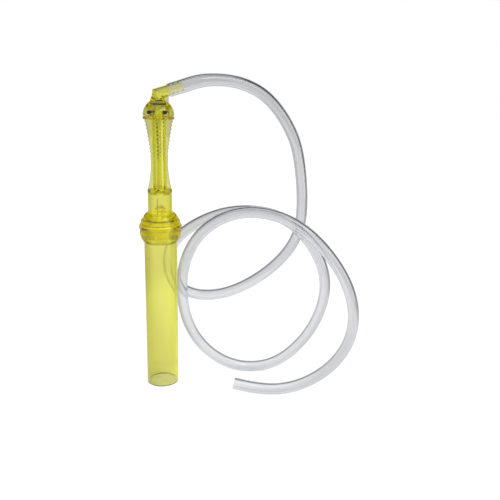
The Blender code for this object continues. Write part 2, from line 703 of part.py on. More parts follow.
def pin_ends(side):
    """A cross pin's ends: from the dome's front, through the spigot's groove, into the socket's far wall."""
    front = math.sqrt(FLANGE_R**2 - PIN_X**2) - PIN_SET_BACK
    back = math.sqrt(HEAD_SOCKET_R**2 - PIN_X**2) - PIN_SHORT
    return (side * PIN_X, -front, PIN_Z), (side * PIN_X, back, PIN_Z)


def swivel_pins(material, carrier):
    """The two pins that hold the head on and let it turn."""
    for side, name in ((-1, "swivel_pin_left"), (1, "swivel_pin_right")):
        start, end = pin_ends(side)
        pin = add_piece(name, rod(PIN_R, start, end, SMALL // 2), material, carrier, PIN_Z)
        pin.data.shade_flat()


def outlet_head(material, carrier):
    """The head: a thin dome round the swivel's socket, an elbow with a web under it and the hose's barb."""
    rim_r = FLANGE_R
    rim_top = (rim_r, RIM_TOP_Z)
    dome_top = (DOME_TOP_R, DOME_TOP_Z)
    dome = [rim_top, *arc(rim_top, dome_top, DOME_BULGE)]
    mouth_z = RIM_Z + SOCKET_LIFT
    roof = (HEAD_SOCKET_R, mouth_z + SOCKET_FREE)
    inside = (rim_r - HEAD_WALL, RIM_TOP_Z)
    outline = [
        (rim_r - HEAD_WALL, RIM_Z),
        (rim_r, RIM_Z),
        *dome,
        *arc(dome_top, (NECK_R, NECK_Z), -NECK_BULGE),
        (0, NECK_Z),
        (0, CHAMBER_TOP_Z),
        (CHAMBER_R, CHAMBER_TOP_Z),
        (CHAMBER_R, DISC_Z),
        (SWIVEL_BORE_R, DISC_Z),
        (SWIVEL_BORE_R, mouth_z),
        (HEAD_SOCKET_R, mouth_z),
        roof,
        *arc(roof, inside, -DOME_BULGE / 2),
    ]
    head = add_piece("outlet_head", turned(outline, MIDDLE), material, carrier, RIM_Z)
    elbow = bent_pipe(NECK_Z - NECK_HEIGHT, ELBOW_R, barb_outline(), SMALL)
    boolean(head, add_tool("elbow_and_barb", elbow), "UNION")

    widths, heights = np.array(dome[::-1]).T
    flank_z = float(np.interp(WEB_REACH, widths, heights))
    web = [
        (WEB_ROOT, NECK_Z - NECK_HEIGHT / 2),
        (WEB_REACH, flank_z - SUNK),
        (WEB_REACH, CROSSING_Z + WEB_REACH * math.tan(ELBOW_RISE) - ARM_R),
        (WEB_ROOT, CROSSING_Z - ARM_R / 2),
    ]
    boolean(head, add_tool("elbow_web", plate(web, WEB_THICKNESS)), "UNION")

    bore = bent_pipe(CHAMBER_TOP_Z - CUT_PAST, ELBOW_BORE_R, [(BARB_TIP + CUT_PAST, ELBOW_BORE_R)], SMALL)
    holes = []
    for side in (-1, 1):
        start, end = (Vector(p) for p in pin_ends(side))
        along = (end - start).normalized()
        holes.append(rod(PIN_R + GAP, start - along * FLANGE_R, end + along * GAP, SMALL // 2))
    boolean(head, add_tool("head_bore", joined([bore, *holes])), "DIFFERENCE")


def natural_spline(points, per_span):
    """A smooth curve through points, by natural cubic splines over the distance between them."""
    knots = np.concatenate([[0], np.cumsum(np.linalg.norm(np.diff(points, axis=0), axis=1))])
    spans = np.diff(knots)
    count = len(points)
    system = np.eye(count)
    target = np.zeros((count, 3))
    for i in range(1, count - 1):
        system[i, i - 1 : i + 2] = spans[i - 1], 2 * (spans[i - 1] + spans[i]), spans[i]
        slope_after = (points[i + 1] - points[i]) / spans[i]
        slope_before = (points[i] - points[i - 1]) / spans[i - 1]
        target[i] = 6 * (slope_after - slope_before)
    bends = np.linalg.solve(system, target)
    curve = [points[:1]]
    for i in range(count - 1):
        t = (np.arange(1, per_span + 1) / per_span * spans[i])[:, None]
        back = spans[i] - t
        curve.append(
            (bends[i] * back**3 + bends[i + 1] * t**3) / (6 * spans[i])
            + (points[i] / spans[i] - bends[i] * spans[i] / 6) * back
            + (points[i + 1] / spans[i] - bends[i + 1] * spans[i] / 6) * t
        )
    return np.concatenate(curve)


def hose_path():
    """The hose's centre and how far along it each point is: on the barb, then evenly on through the route.

    A longer barrel lifts the route in proportion, a thicker hose rests higher, and a fatter barrel or hose
    pushes it outwards from the axis.
    """
    crossing = np.array((0, 0, CROSSING_Z))
    start = ARM_LENGTH + GAP
    on_barb = [crossing + np.array(ARM_DIRECTION) * d for d in (start, (start + BARB_TIP) / 2, BARB_TIP)]
    route = np.array(HOSE_ROUTE) * MM
    route[:, 2] = (route[:, 2] - ROUTE_HOSE) * (on_barb[-1][2] - HOSE_R) / (ROUTE_TIP - ROUTE_HOSE) + HOSE_R
    reach = np.hypot(route[:, 0], route[:, 1])
    pushed = reach + (BARREL_R + HOSE_R) - (ROUTE_BARREL + ROUTE_HOSE)
    route[:, :2] *= (pushed / reach)[:, None]
    curve = natural_spline(np.concatenate([on_barb, route]), ROUTE_FINENESS)
    along = np.concatenate([[0], np.cumsum(np.linalg.norm(np.diff(curve, axis=0), axis=1))])
    steps = round(along[-1] / (HOSE_STEP * HOSE_DIAMETER))
    places = np.concatenate([[0], np.linspace(BARB_LENGTH, along[-1], steps)])
    return np.stack([np.interp(places, along, curve[:, axis]) for axis in range(3)], axis=1), places


def tube_mesh(name, path, widths, sides_setting):
    """A closed tube along a path: a poly spline with a round bevel and filled caps, read as a mesh."""
    curve = bpy.data.curves.new(name, "CURVE")
    curve.dimensions = "3D"
    curve.bevel_depth = 1.0
    curve.bevel_resolution = sides_setting
    curve.use_fill_caps = True
    spline = curve.splines.new("POLY")
    spline.points.add(len(path) - 1)
    for point, place, width in zip(spline.points, path, widths):
        point.co = (*place, 1)
        point.radius = width
    holder = bpy.data.objects.new(name, curve)
    bpy.context.scene.collection.objects.link(holder)
    bpy.context.view_layer.update()
    shape = bmesh.new()
    evaluated = holder.evaluated_get(bpy.context.evaluated_depsgraph_get())
    shape.from_mesh(evaluated.to_mesh())
    evaluated.to_mesh_clear()
    bpy.data.objects.remove(holder)
    bmesh.ops.remove_doubles(shape, verts=shape.verts, dist=MERGE)
    bmesh.ops.recalc_face_normals(shape, faces=shape.faces)
    return shape


def report_hose(path, places):
    """Print the hose's length, its lowest point and the least gap between its separate stretches."""
    gaps = np.linalg.norm(path[:, None] - path[None], axis=2) - HOSE_DIAMETER
    far = np.abs(np.subtract.outer(places, places)) > FAR_APART * HOSE_DIAMETER
    least, lowest = gaps[far].min() / MM, path[:, 2].min() / MM
    print(f"hose: {places[-1]:.3f} m long, least gap to itself {least:.1f} mm, lowest centre {lowest:.1f} mm")


def hose(material, carrier):
    """The hose: a tube with its bore, wider where it is pushed over the barb."""
    path, places = hose_path()
    report_hose(path, places)
    on_barb = np.clip(1 - (places - BARB_LENGTH) / HOSE_TAPER, 0, 1)
    outside = HOSE_R + on_barb * HOSE_STRETCH / 2
    inside = HOSE_BORE_R + on_barb * (BARB_PEAK_R + 2 * GAP - HOSE_BORE_R)
    wall = tube_mesh("hose_outside", path, outside, HOSE_SIDES_SETTING)
    piece = add_piece("hose", wall, material, carrier)
    first, last = path[0] - path[1], path[-1] - path[-2]
    before = path[0] + first / np.linalg.norm(first) * CUT_PAST
    after = path[-1] + last / np.linalg.norm(last) * CUT_PAST
    bore_path = np.concatenate([[before], path, [after]])
    bore_widths = np.concatenate([inside[:1], inside, inside[-1:]])
    bore = tube_mesh("hose_bore", bore_path, bore_widths, BORE_SIDES_SETTING)
    boolean(piece, add_tool("hose_bore", bore), "DIFFERENCE")


def main():
    """Build every piece on the body that carries it."""
    clear_scene()
    clear_yellow = finish("clear_yellow_styrene", "#D9D24A", 0.08, 0.6)
    deep_yellow = finish("clear_yellow_styrene_thick", "#C9BE22", 0.1, 0.5)
    black_rubber = finish("black_nitrile", "#161616", 0.6)
    silicone = finish("clear_silicone", "#DDD98E", 0.35, 0.3)
    vinyl = finish("clear_vinyl", "#D4D6DA", 0.12, 0.6)

    head = body("head")
    outlet_head(clear_yellow, head)
    swivel_pins(black_rubber, head)
    hose(vinyl, head)

    grip = body("grip")
    grip_handle(clear_yellow, grip)
    pump_tube(clear_yellow, grip)
    stop_ring(deep_yellow, grip)
    inlet_seat(deep_yellow, grip)
    head_o_ring(silicone, grip)

    barrel = body("barrel")
    intake_tube(clear_yellow, barrel)
    barrel_collar(deep_yellow, barrel)
    gland_seal(silicone, barrel)

    thrust_ring(deep_yellow, body("thrust_ring"))
    gland_nut(deep_yellow, body("gland_nut"))

    poppet = body("inlet_poppet")
    inlet_poppet(deep_yellow, poppet)
    inlet_washer(silicone, poppet)
    outlet_disc(black_rubber, body("outlet_disc"))


main()
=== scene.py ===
"""Looks of an auto siphon: clear yellow mouldings, a looped clear hose and a plain white studio.

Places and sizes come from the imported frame. Each piece is a surface worked out with numpy on a grid of rows
and columns, and replaces the faceted node of the same piece. Metres, +Z up, and fillets in millimetres.
"""

import json
import logging
import math
from dataclasses import dataclass
from enum import Enum
from typing import Optional, Sequence

import bmesh
import bpy
import numpy as np
from mathutils import Matrix, Vector


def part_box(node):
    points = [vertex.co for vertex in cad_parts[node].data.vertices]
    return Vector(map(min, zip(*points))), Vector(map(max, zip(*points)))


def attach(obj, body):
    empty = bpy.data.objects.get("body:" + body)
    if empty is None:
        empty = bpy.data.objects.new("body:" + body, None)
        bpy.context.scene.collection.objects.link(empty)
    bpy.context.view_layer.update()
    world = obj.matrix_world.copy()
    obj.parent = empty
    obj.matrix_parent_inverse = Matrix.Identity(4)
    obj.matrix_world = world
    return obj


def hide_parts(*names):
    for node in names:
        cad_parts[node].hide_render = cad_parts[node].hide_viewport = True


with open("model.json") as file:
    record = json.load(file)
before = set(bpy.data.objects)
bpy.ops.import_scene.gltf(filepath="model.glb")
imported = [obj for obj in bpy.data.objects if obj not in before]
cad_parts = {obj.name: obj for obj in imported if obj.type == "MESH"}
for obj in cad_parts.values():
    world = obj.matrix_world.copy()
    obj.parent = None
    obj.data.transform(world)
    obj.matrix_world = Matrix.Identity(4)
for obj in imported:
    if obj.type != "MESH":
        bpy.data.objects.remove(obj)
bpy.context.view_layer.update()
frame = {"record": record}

LOG = logging.getLogger("siphon")
MM = 0.001
TURN = 2 * math.pi
GAP = 0.3 * MM  # between pieces that rest on, or are bonded to, one another
MERGE = 0.001 * MM  # points closer than this are one
SHARP_ANGLE = math.radians(38)  # edges sharper than this are not shaded smooth
FILLET_STEPS = 5
FILLET_SHARE = 0.45  # most of a side that a fillet takes
SUPPORT = 0.3 * MM  # from a straight side's ends to the rows that keep its shading straight
SUPPORT_SPAN = 2.0 * MM  # sides longer than this have them
BOW_STEPS = 14
THREAD_STEP = 0.25 * MM  # between a thread's rows
PAINTED_DARKENING = "painted_darkening"  # attribute of how much darker each point is painted, from 0 to 1: painted shade at the barrel's foot, on the fins' edges and in the grip's teeth valleys, and a darker line in the pump tube's seam
Span = tuple[float, float]  # from a start to an end


class Operation(Enum):
    """What a Boolean does with its tool."""

    JOIN = "UNION"
    CUT = "DIFFERENCE"


@dataclass(frozen=True)
class Extent:
    """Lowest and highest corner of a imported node, and what is most used of them."""

    low: Vector
    high: Vector
    radius: float  # half the width across Y: the outside radius of a round piece on the axis
    bottom: float
    top: float

    @classmethod
    def of(cls, node: str) -> "Extent":
        """The extent of the node with that name."""
        low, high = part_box(node)
        return cls(low, high, (high.y - low.y) / 2, low.z, high.z)


class Profile:
    """An outline of (radius, height) points, drawn corner by corner and turned round the axis later."""

    def __init__(self) -> None:
        """Start with no corners."""
        self.corners: list[tuple[float, float, float]] = []

    @classmethod
    def ring(
        cls, inner: float, outer: float, bottom: float, top: float, fillets: Sequence[float]
    ) -> "Profile":
        """A ring's section: a rectangle with rounded corners.

        Args:
            inner: Radius of the bore.
            outer: Radius of the outside.
            bottom: Height of the underside.
            top: Height of the upper side.
            fillets: Rounding of each corner, from the inner lower one round to the inner upper one.

        Returns:
            The new profile.
        """
        profile = cls()
        for corner in zip((inner, outer, outer, inner), (bottom, bottom, top, top), fillets):
            profile.to(*corner)
        return profile

    def to(self, radius: float, height: float, fillet: float = 0.0) -> "Profile":
        """Add a corner, rounded over so many millimetres along both its sides."""
        self.corners.append((radius, height, fillet * MM))
        return self

    def bow(self, radius: float, height: float, bulge: float, fillet: float = 0.0) -> "Profile":
        """Add a shallow arc from the last corner to a new one.

        The arc is the parabola that stands bulge to the right of the straight line at its middle.

        Args:
            radius: Radius of the new corner.
            height: Height of the new corner.
            bulge: How far the arc stands out.
            fillet: Rounding of the new corner.

        Returns:
            The profile itself.
        """
        start = np.array(self.corners[-1][:2])
        line = np.array((radius, height)) - start
        side = np.array((line[1], -line[0])) / np.linalg.norm(line)
        share = np.linspace(0, 1, BOW_STEPS + 1)[1:-1, None]
        for point in (start + line * share + side * 4 * bulge * share * (1 - share)).tolist():
            self.to(*point)
        return self.to(radius, height, fillet)

    def climb(self, height: float) -> "Profile":
        """Add points straight up or down to a height, as rows for a thread.

        Args:
            height: Where the rows end.

        Returns:
            The profile itself.
        """
        radius, start, _ = self.corners[-1]
        count = max(2, round(abs(height - start) / THREAD_STEP))
        for row in np.linspace(start, height, count + 1)[1:].tolist():
            self.to(radius, row)
        return self

    def outline(self, closed: bool = True) -> np.ndarray:
        """The outline with its rounded corners.

        Each corner becomes the quadratic curve that leaves one side and meets the other a fillet away from
        it. A long straight side gets a point near each end, because the fillets' normals would otherwise
        bend the shading of the whole side.

        Args:
            closed: Whether the last point joins the first by a side of the piece.

        Returns:
            An array of (radius, height) rows with no two neighbours alike.
        """
        data = np.array(self.corners)
        corner = data[:, :2]
        before = np.roll(corner, 1, axis=0) - corner
        after = np.roll(corner, -1, axis=0) - corner
        length_before = np.linalg.norm(before, axis=1)
        length_after = np.linalg.norm(after, axis=1)
        reach = np.minimum(data[:, 2], FILLET_SHARE * np.minimum(length_before, length_after))
        start = corner + before * (reach / np.maximum(length_before, MERGE))[:, None]
        end = corner + after * (reach / np.maximum(length_after, MERGE))[:, None]
        share = np.linspace(0, 1, FILLET_STEPS)[:, None, None]
        curve = (1 - share) ** 2 * start + 2 * share * (1 - share) * corner + share**2 * end
        points = curve.transpose(1, 0, 2).reshape(-1, 2)
        points = points[np.linalg.norm(points - np.roll(points, 1, axis=0), axis=1) > MERGE]
        side = np.roll(points, -1, axis=0) - points
        length = np.linalg.norm(side, axis=1)
        long = length > SUPPORT_SPAN
        long[-1] &= closed
        inset = side * (SUPPORT / length)[:, None]
        rows = np.stack([points, points + inset, points + side - inset], axis=1)
        return rows[np.stack([np.full_like(long, True), long, long], axis=1)]


@dataclass(frozen=True)
class Thread:
    """A right-hand thread, sunk into a cylinder as a helical wave.

    Attributes:
        bottom: Height where the wave starts to deepen.
        top: Height where it has faded out.
        pitch: Rise in one turn.
        depth: Depth of the wave.
        fade: Height over which it fades in and out.
    """

    bottom: float
    top: float
    pitch: float = 3.0 * MM
    depth: float = 0.8 * MM
    fade: float = 1.2 * MM

    def cut(self, grid: np.ndarray, radius: float) -> np.ndarray:
        """Sink the wave into the points of a grid that lie on one cylinder.

        A point at angle a and height z moves inwards by depth * (1 + cos(2 pi z / pitch - a)) / 2.

        Args:
            grid: Rows by columns of points.
            radius: The cylinder's radius.

        Returns:
            The grid with its thread.
        """
        x, y, height = np.moveaxis(grid, -1, 0)
        reach = np.hypot(x, y)
        wave = (1 + np.cos(TURN * height / self.pitch - np.arctan2(y, x))) / 2
        foot = np.clip((height - self.bottom) / self.fade, 0, 1)
        head = np.clip((self.top - height) / self.fade, 0, 1)
        sunk = np.where(np.abs(reach - radius) < 10 * MERGE, self.depth * wave * foot * head, 0)
        threaded = grid.copy()
        threaded[..., :2] *= ((reach - sunk) / np.maximum(reach, MERGE))[..., None]
        return threaded


def columns(count: int) -> np.ndarray:
    """Angles of so many columns, evenly spaced round the axis."""
    return np.arange(count) * TURN / count


FINE = columns(128)  # round a large piece
SMALL = columns(64)
COARSE = columns(32)


def turned(outline: np.ndarray, angle: np.ndarray) -> np.ndarray:
    """An outline turned round Z: (r cos a, r sin a, z) for the angle a of each column.

    Args:
        outline: Rows of (radius, height).
        angle: The columns' angles.

    Returns:
        A grid of points, one row for each point of the outline.
    """
    radius, height = outline.T
    x, y = np.outer(radius, np.cos(angle)), np.outer(radius, np.sin(angle))
    return np.stack([x, y, np.outer(height, np.ones_like(angle))], axis=-1)


def prism(section: np.ndarray, start: float, end: float) -> np.ndarray:
    """A section drawn out along the first axis, as a grid with a pole in the middle of each end.

    Args:
        section: Points of the section, on the other two axes.
        start: Where the prism starts.
        end: Where it ends.

    Returns:
        A grid: pole, section, section, pole.
    """
    middle = np.broadcast_to(section.mean(axis=0), section.shape)
    rows = ((middle, start), (section, start), (section, end), (middle, end))
    return np.stack([np.insert(points, 0, place, axis=1) for points, place in rows])


def quads(rows: int, across: int, closed: bool) -> np.ndarray:
    """Faces of a grid whose columns run round.

    Args:
        rows: Number of rows.
        across: Number of columns.
        closed: Whether the last row joins the first.

    Returns:
        Four indices for each face.
    """
    index = np.arange(rows * across).reshape(rows, across)
    below = index if closed else index[:-1]
    above = np.roll(index, -1, axis=0) if closed else index[1:]
    corners = (below, np.roll(below, -1, axis=1), np.roll(above, -1, axis=1), above)
    return np.stack(corners, axis=-1).reshape(-1, 4)


def enclosed_volume(points: np.ndarray, faces: np.ndarray) -> float:
    """Six times the signed volume inside four-sided faces, which is negative where they point inwards."""
    a, b, c, d = (points[faces[:, i]] for i in range(4))
    return float((a * (np.cross(b, c) + np.cross(c, d))).sum())


def add_surface(name: str, grid: np.ndarray, closed: bool = True) -> bpy.types.Object:
    """Make an object from a grid of points, with its faces pointing outwards.

    Args:
        name: The object's name.
        grid: Rows by columns of points.
        closed: Whether the last row joins the first. If not, both end rows are poles, merged to a point.

    Returns:
        The new object, at the origin.
    """
    points = grid.reshape(-1, 3)
    faces = quads(grid.shape[0], grid.shape[1], closed)
    if enclosed_volume(points, faces) < 0:
        faces = faces[:, ::-1]
    mesh = bpy.data.meshes.new(name)
    mesh.from_pydata(points.tolist(), [], faces.tolist())
    if not closed:
        shape = bmesh.new()
        shape.from_mesh(mesh)
        bmesh.ops.remove_doubles(shape, verts=shape.verts, dist=MERGE)
        shape.to_mesh(mesh)
        shape.free()
    piece = bpy.data.objects.new(name, mesh)
    bpy.context.scene.collection.objects.link(piece)
    smooth(piece)
    return piece


def paint_darkening(piece: bpy.types.Object, painted_darkening: np.ndarray) -> None:
    """Store how much darker each point of a piece is painted, from 0 to 1."""
    layer = piece.data.attributes.new(PAINTED_DARKENING, "FLOAT", "POINT")
    layer.data.foreach_set("value", painted_darkening.ravel().astype(np.float32))


def smooth(piece: bpy.types.Object) -> None:
    """Shade a piece smooth except along its sharp edges."""
    piece.data.shade_smooth()
    piece.data.set_sharp_from_angle(angle=SHARP_ANGLE)


def boolean(piece: bpy.types.Object, tools: Sequence[bpy.types.Object], operation: Operation) -> None:
    """Join tools to a piece, or cut them out of it, in its own mesh. The tools are used up.

    Args:
        piece: The piece.
        tools: The objects that are joined or cut out.
        operation: Which of the two.
    """
    for tool in tools:
        step = piece.modifiers.new(tool.name, "BOOLEAN")
        step.operation = operation.value
        step.object = tool
        step.solver = "EXACT"
    bpy.context.view_layer.update()
    evaluated = piece.evaluated_get(bpy.context.evaluated_depsgraph_get())
    result = bpy.data.meshes.new_from_object(evaluated)
    piece.modifiers.clear()
    piece.data = result
    for tool in tools:
        bpy.data.objects.remove(tool, do_unlink=True)
    smooth(piece)


def linear(hex_colour: str) -> tuple[float, float, float, float]:
    """A colour in linear light, by the sRGB curve.

    Args:
        hex_colour: The colour as sRGB hex.

    Returns:
        Red, green, blue and an alpha of 1.
    """
    channel = np.array([int(hex_colour[i : i + 2], 16) / 255 for i in (1, 3, 5)])
    light = np.where(channel <= 0.04045, channel / 12.92, ((channel + 0.055) / 1.055) ** 2.4)
    return (*light.tolist(), 1.0)


WHITE = linear("#FFFFFF")


def add_node(
    tree: bpy.types.NodeTree, kind: str, inputs: Optional[dict] = None, **settings: object
) -> bpy.types.Node:
    """Add a node with its settings, values and links.

    Args:
        tree: The tree that it goes into.
        kind: Blender's name for the type of node, after ShaderNode.
        inputs: For each input, a value, or what is linked to it: an output, or a node for its first output.
        settings: Attributes of the node.

    Returns:
        The node.
    """
    node = tree.nodes.new("ShaderNode" + kind)
    for name, value in settings.items():
        setattr(node, name, value)
    for socket, value in (inputs or {}).items():
        if isinstance(value, bpy.types.Node):
            value = next(output for output in value.outputs if output.enabled)
        if isinstance(value, bpy.types.NodeSocket):
            tree.links.new(value, node.inputs[socket])
        else:
            node.inputs[socket].default_value = value
    return node


def empty_material(name: str) -> tuple[bpy.types.Material, bpy.types.NodeTree]:
    """A material with no nodes yet.

    Args:
        name: The material's name.

    Returns:
        The material and its tree.
    """
    material = bpy.data.materials.new(name)
    material.use_nodes = True
    material.node_tree.nodes.clear()
    return material, material.node_tree


@dataclass(frozen=True)
class ClearPlastic:
    """A clear plastic that takes its colour from its thickness.

    Attributes:
        name: The material's name.
        tint: Colour that the inside absorbs light towards, in sRGB hex.
        density: How strongly it absorbs, per metre.
        ior: Index of refraction.
        gloss: Roughness where the surface is cleanest.
        haze: Roughness where it is handled most.
        patch: Size of the hazier patches.
        patch_span: Levels of the noise between which the haze grows.
        ripple: Spacing of the faint waves that the mould or the die leaves.
        ripple_height: Height of those waves.
        painted_darkening: Colour painted where a piece has the attribute for it: painted shade at edges, in
            creases and at the barrel's foot, and a darker line in the pump tube's seam.
    """

    name: str
    tint: str
    density: float
    ior: float
    gloss: float = 0.0
    haze: float = 0.03
    patch: float = 16 * MM
    patch_span: Span = (0.35, 0.75)
    ripple: float = 11 * MM
    ripple_height: float = 0.01 * MM
    painted_darkening: str = "#2E2B06"

    def material(self) -> bpy.types.Material:
        """Build the nodes: a refracting surface with haze, faint waves and painted darkening, and an
        absorbing inside.

        Returns:
            The material.
        """
        material, tree = empty_material(self.name)
        where = add_node(tree, "TexCoord").outputs["Object"]
        patches = add_node(tree, "TexNoise", {"Vector": where, "Scale": 1 / self.patch, "Detail": 3.0})
        # Map Range's inputs in order: the value, the span that it comes from and the one that it goes to
        handled = (patches, *self.patch_span, self.gloss, self.haze)
        waves = add_node(tree, "TexNoise", {"Vector": where, "Scale": 1 / self.ripple, "Detail": 1.0})
        bump = {"Height": waves, "Strength": 1.0, "Distance": self.ripple_height}
        # the base colour turns towards the darkening colour by the attribute: painted shade, and the seam's
        # darker line
        lines = add_node(tree, "Attribute", attribute_name=PAINTED_DARKENING).outputs["Fac"]
        colours = {"Factor": lines, "A": WHITE, "B": linear(self.painted_darkening)}
        surface = {
            "Base Color": add_node(tree, "Mix", colours, data_type="RGBA"),
            "Roughness": add_node(tree, "MapRange", dict(enumerate(handled))),
            "IOR": self.ior,
            "Transmission Weight": 1.0,
            "Normal": add_node(tree, "Bump", bump),
        }
        inside = {"Color": linear(self.tint), "Density": self.density}
        shaders = {
            "Surface": add_node(tree, "BsdfPrincipled", surface),
            "Volume": add_node(tree, "VolumeAbsorption", inside),
        }
        add_node(tree, "OutputMaterial", shaders)
        return material


@dataclass(frozen=True)
class SoftRubber:
    """A moulded rubber: satin, with a fine speckle of dust and handling.

    Attributes:
        name: The material's name.
        colour: Its colour in sRGB hex.
        dust: Colour of the speckle.
        roughness: Roughness of the clean surface.
        scuffed: Added roughness where it is most worn.
        grain: Size of the speckle.
        grain_height: Height of the speckle.
        dust_span: Levels of the noise between which the dust thickens.
        dust_share: Share of dust where it is thickest.
        scuff_span: Levels of the noise between which it gets rougher.
    """

    name: str
    colour: str
    dust: str
    roughness: float
    scuffed: float = 0.2
    grain: float = 0.8 * MM
    grain_height: float = 0.02 * MM
    dust_span: Span = (0.45, 0.8)
    dust_share: float = 0.7
    scuff_span: Span = (0.3, 0.8)

    def material(self) -> bpy.types.Material:
        """Build the nodes: noise mixes in the dust, roughens it and raises it a little.

        Returns:
            The material.
        """
        material, tree = empty_material(self.name)
        where = add_node(tree, "TexCoord").outputs["Object"]
        speckle = add_node(tree, "TexNoise", {"Vector": where, "Scale": 1 / self.grain, "Detail": 4.0})
        dusty = add_node(tree, "MapRange", dict(enumerate((speckle, *self.dust_span, 0.0, self.dust_share))))
        scuffed = (speckle, *self.scuff_span, self.roughness, self.roughness + self.scuffed)
        bump = {"Height": speckle, "Strength": 0.4, "Distance": self.grain_height}
        colours = {"Factor": dusty, "A": linear(self.colour), "B": linear(self.dust)}
        surface = {
            "Base Color": add_node(tree, "Mix", colours, data_type="RGBA"),
            "Roughness": add_node(tree, "MapRange", dict(enumerate(scuffed))),
            "Normal": add_node(tree, "Bump", bump),
        }
        add_node(tree, "OutputMaterial", {"Surface": add_node(tree, "BsdfPrincipled", surface)})
        return material


class Finish(Enum):
    """The siphon's finishes, by what each one is made of."""

    # Acrylic, injection moulded: glassy walls whose yellow deepens as they get thicker
    THIN_ACRYLIC = ClearPlastic("clear_yellow_acrylic", "#FEFD4C", 500.0, 1.49)
    # Painted light: the same acrylic absorbing less red and green, so that the thick pieces come out lighter
    THICK_LIGHTENED_ACRYLIC = ClearPlastic("clear_yellow_acrylic_thick_lightened", "#FFFE44", 500.0, 1.49)
    # Soft polyvinyl chloride, extruded: a cool grey cast, with waves from the die and scuffs from the coil
    VINYL = ClearPlastic("clear_soft_vinyl", "#F1F2F5", 260.0, 1.53, patch=24 * MM, ripple=40 * MM)
    # Nitrile rubber, moulded: near black and dull
    NITRILE = SoftRubber("black_nitrile", "#101010", "#2A2A28", 0.5)
    # Silicone rubber, moulded: clear and satin
    SILICONE = ClearPlastic("clear_silicone", "#FDFCD8", 200.0, 1.41, gloss=0.05, haze=0.2)


class Wardrobe:
    """Dresses each piece: finish, body and the node that it stands for, as the record has them."""

    def __init__(self, record: dict) -> None:
        """Read the record's bodies and slots, and build each finish once.

        Args:
            record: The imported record.
        """
        bodies = record["behaviour"]["bodies"]
        self.body = {node: body for body, nodes in bodies.items() for node in nodes}
        self.slot = {part["node"]: part["material_slot"] for part in record["subparts"]}
        self.materials = {finish: finish.value.material() for finish in Finish}

    def dress(self, piece: bpy.types.Object, node: str, finish: Finish) -> bpy.types.Object:
        """Give a piece its finish, and put it in a node's place on that node's body.

        Args:
            piece: The new piece.
            node: The node that it replaces.
            finish: Its finish.

        Returns:
            The piece.
        """
        piece.data.materials.clear()
        piece.data.materials.append(self.materials[finish])
        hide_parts(node)
        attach(piece, self.body[node])
        faces = len(piece.data.polygons)
        LOG.info("%s stands for %s on %s: %d faces", piece.name, node, self.body[node], faces)
        return piece

    def mould(self, node: str, grid: np.ndarray, finish: Finish, closed: bool = True) -> bpy.types.Object:
        """Make the moulding that stands for a node from a grid of points, and dress it."""
        return self.dress(add_surface(node + "_moulding", grid, closed), node, finish)


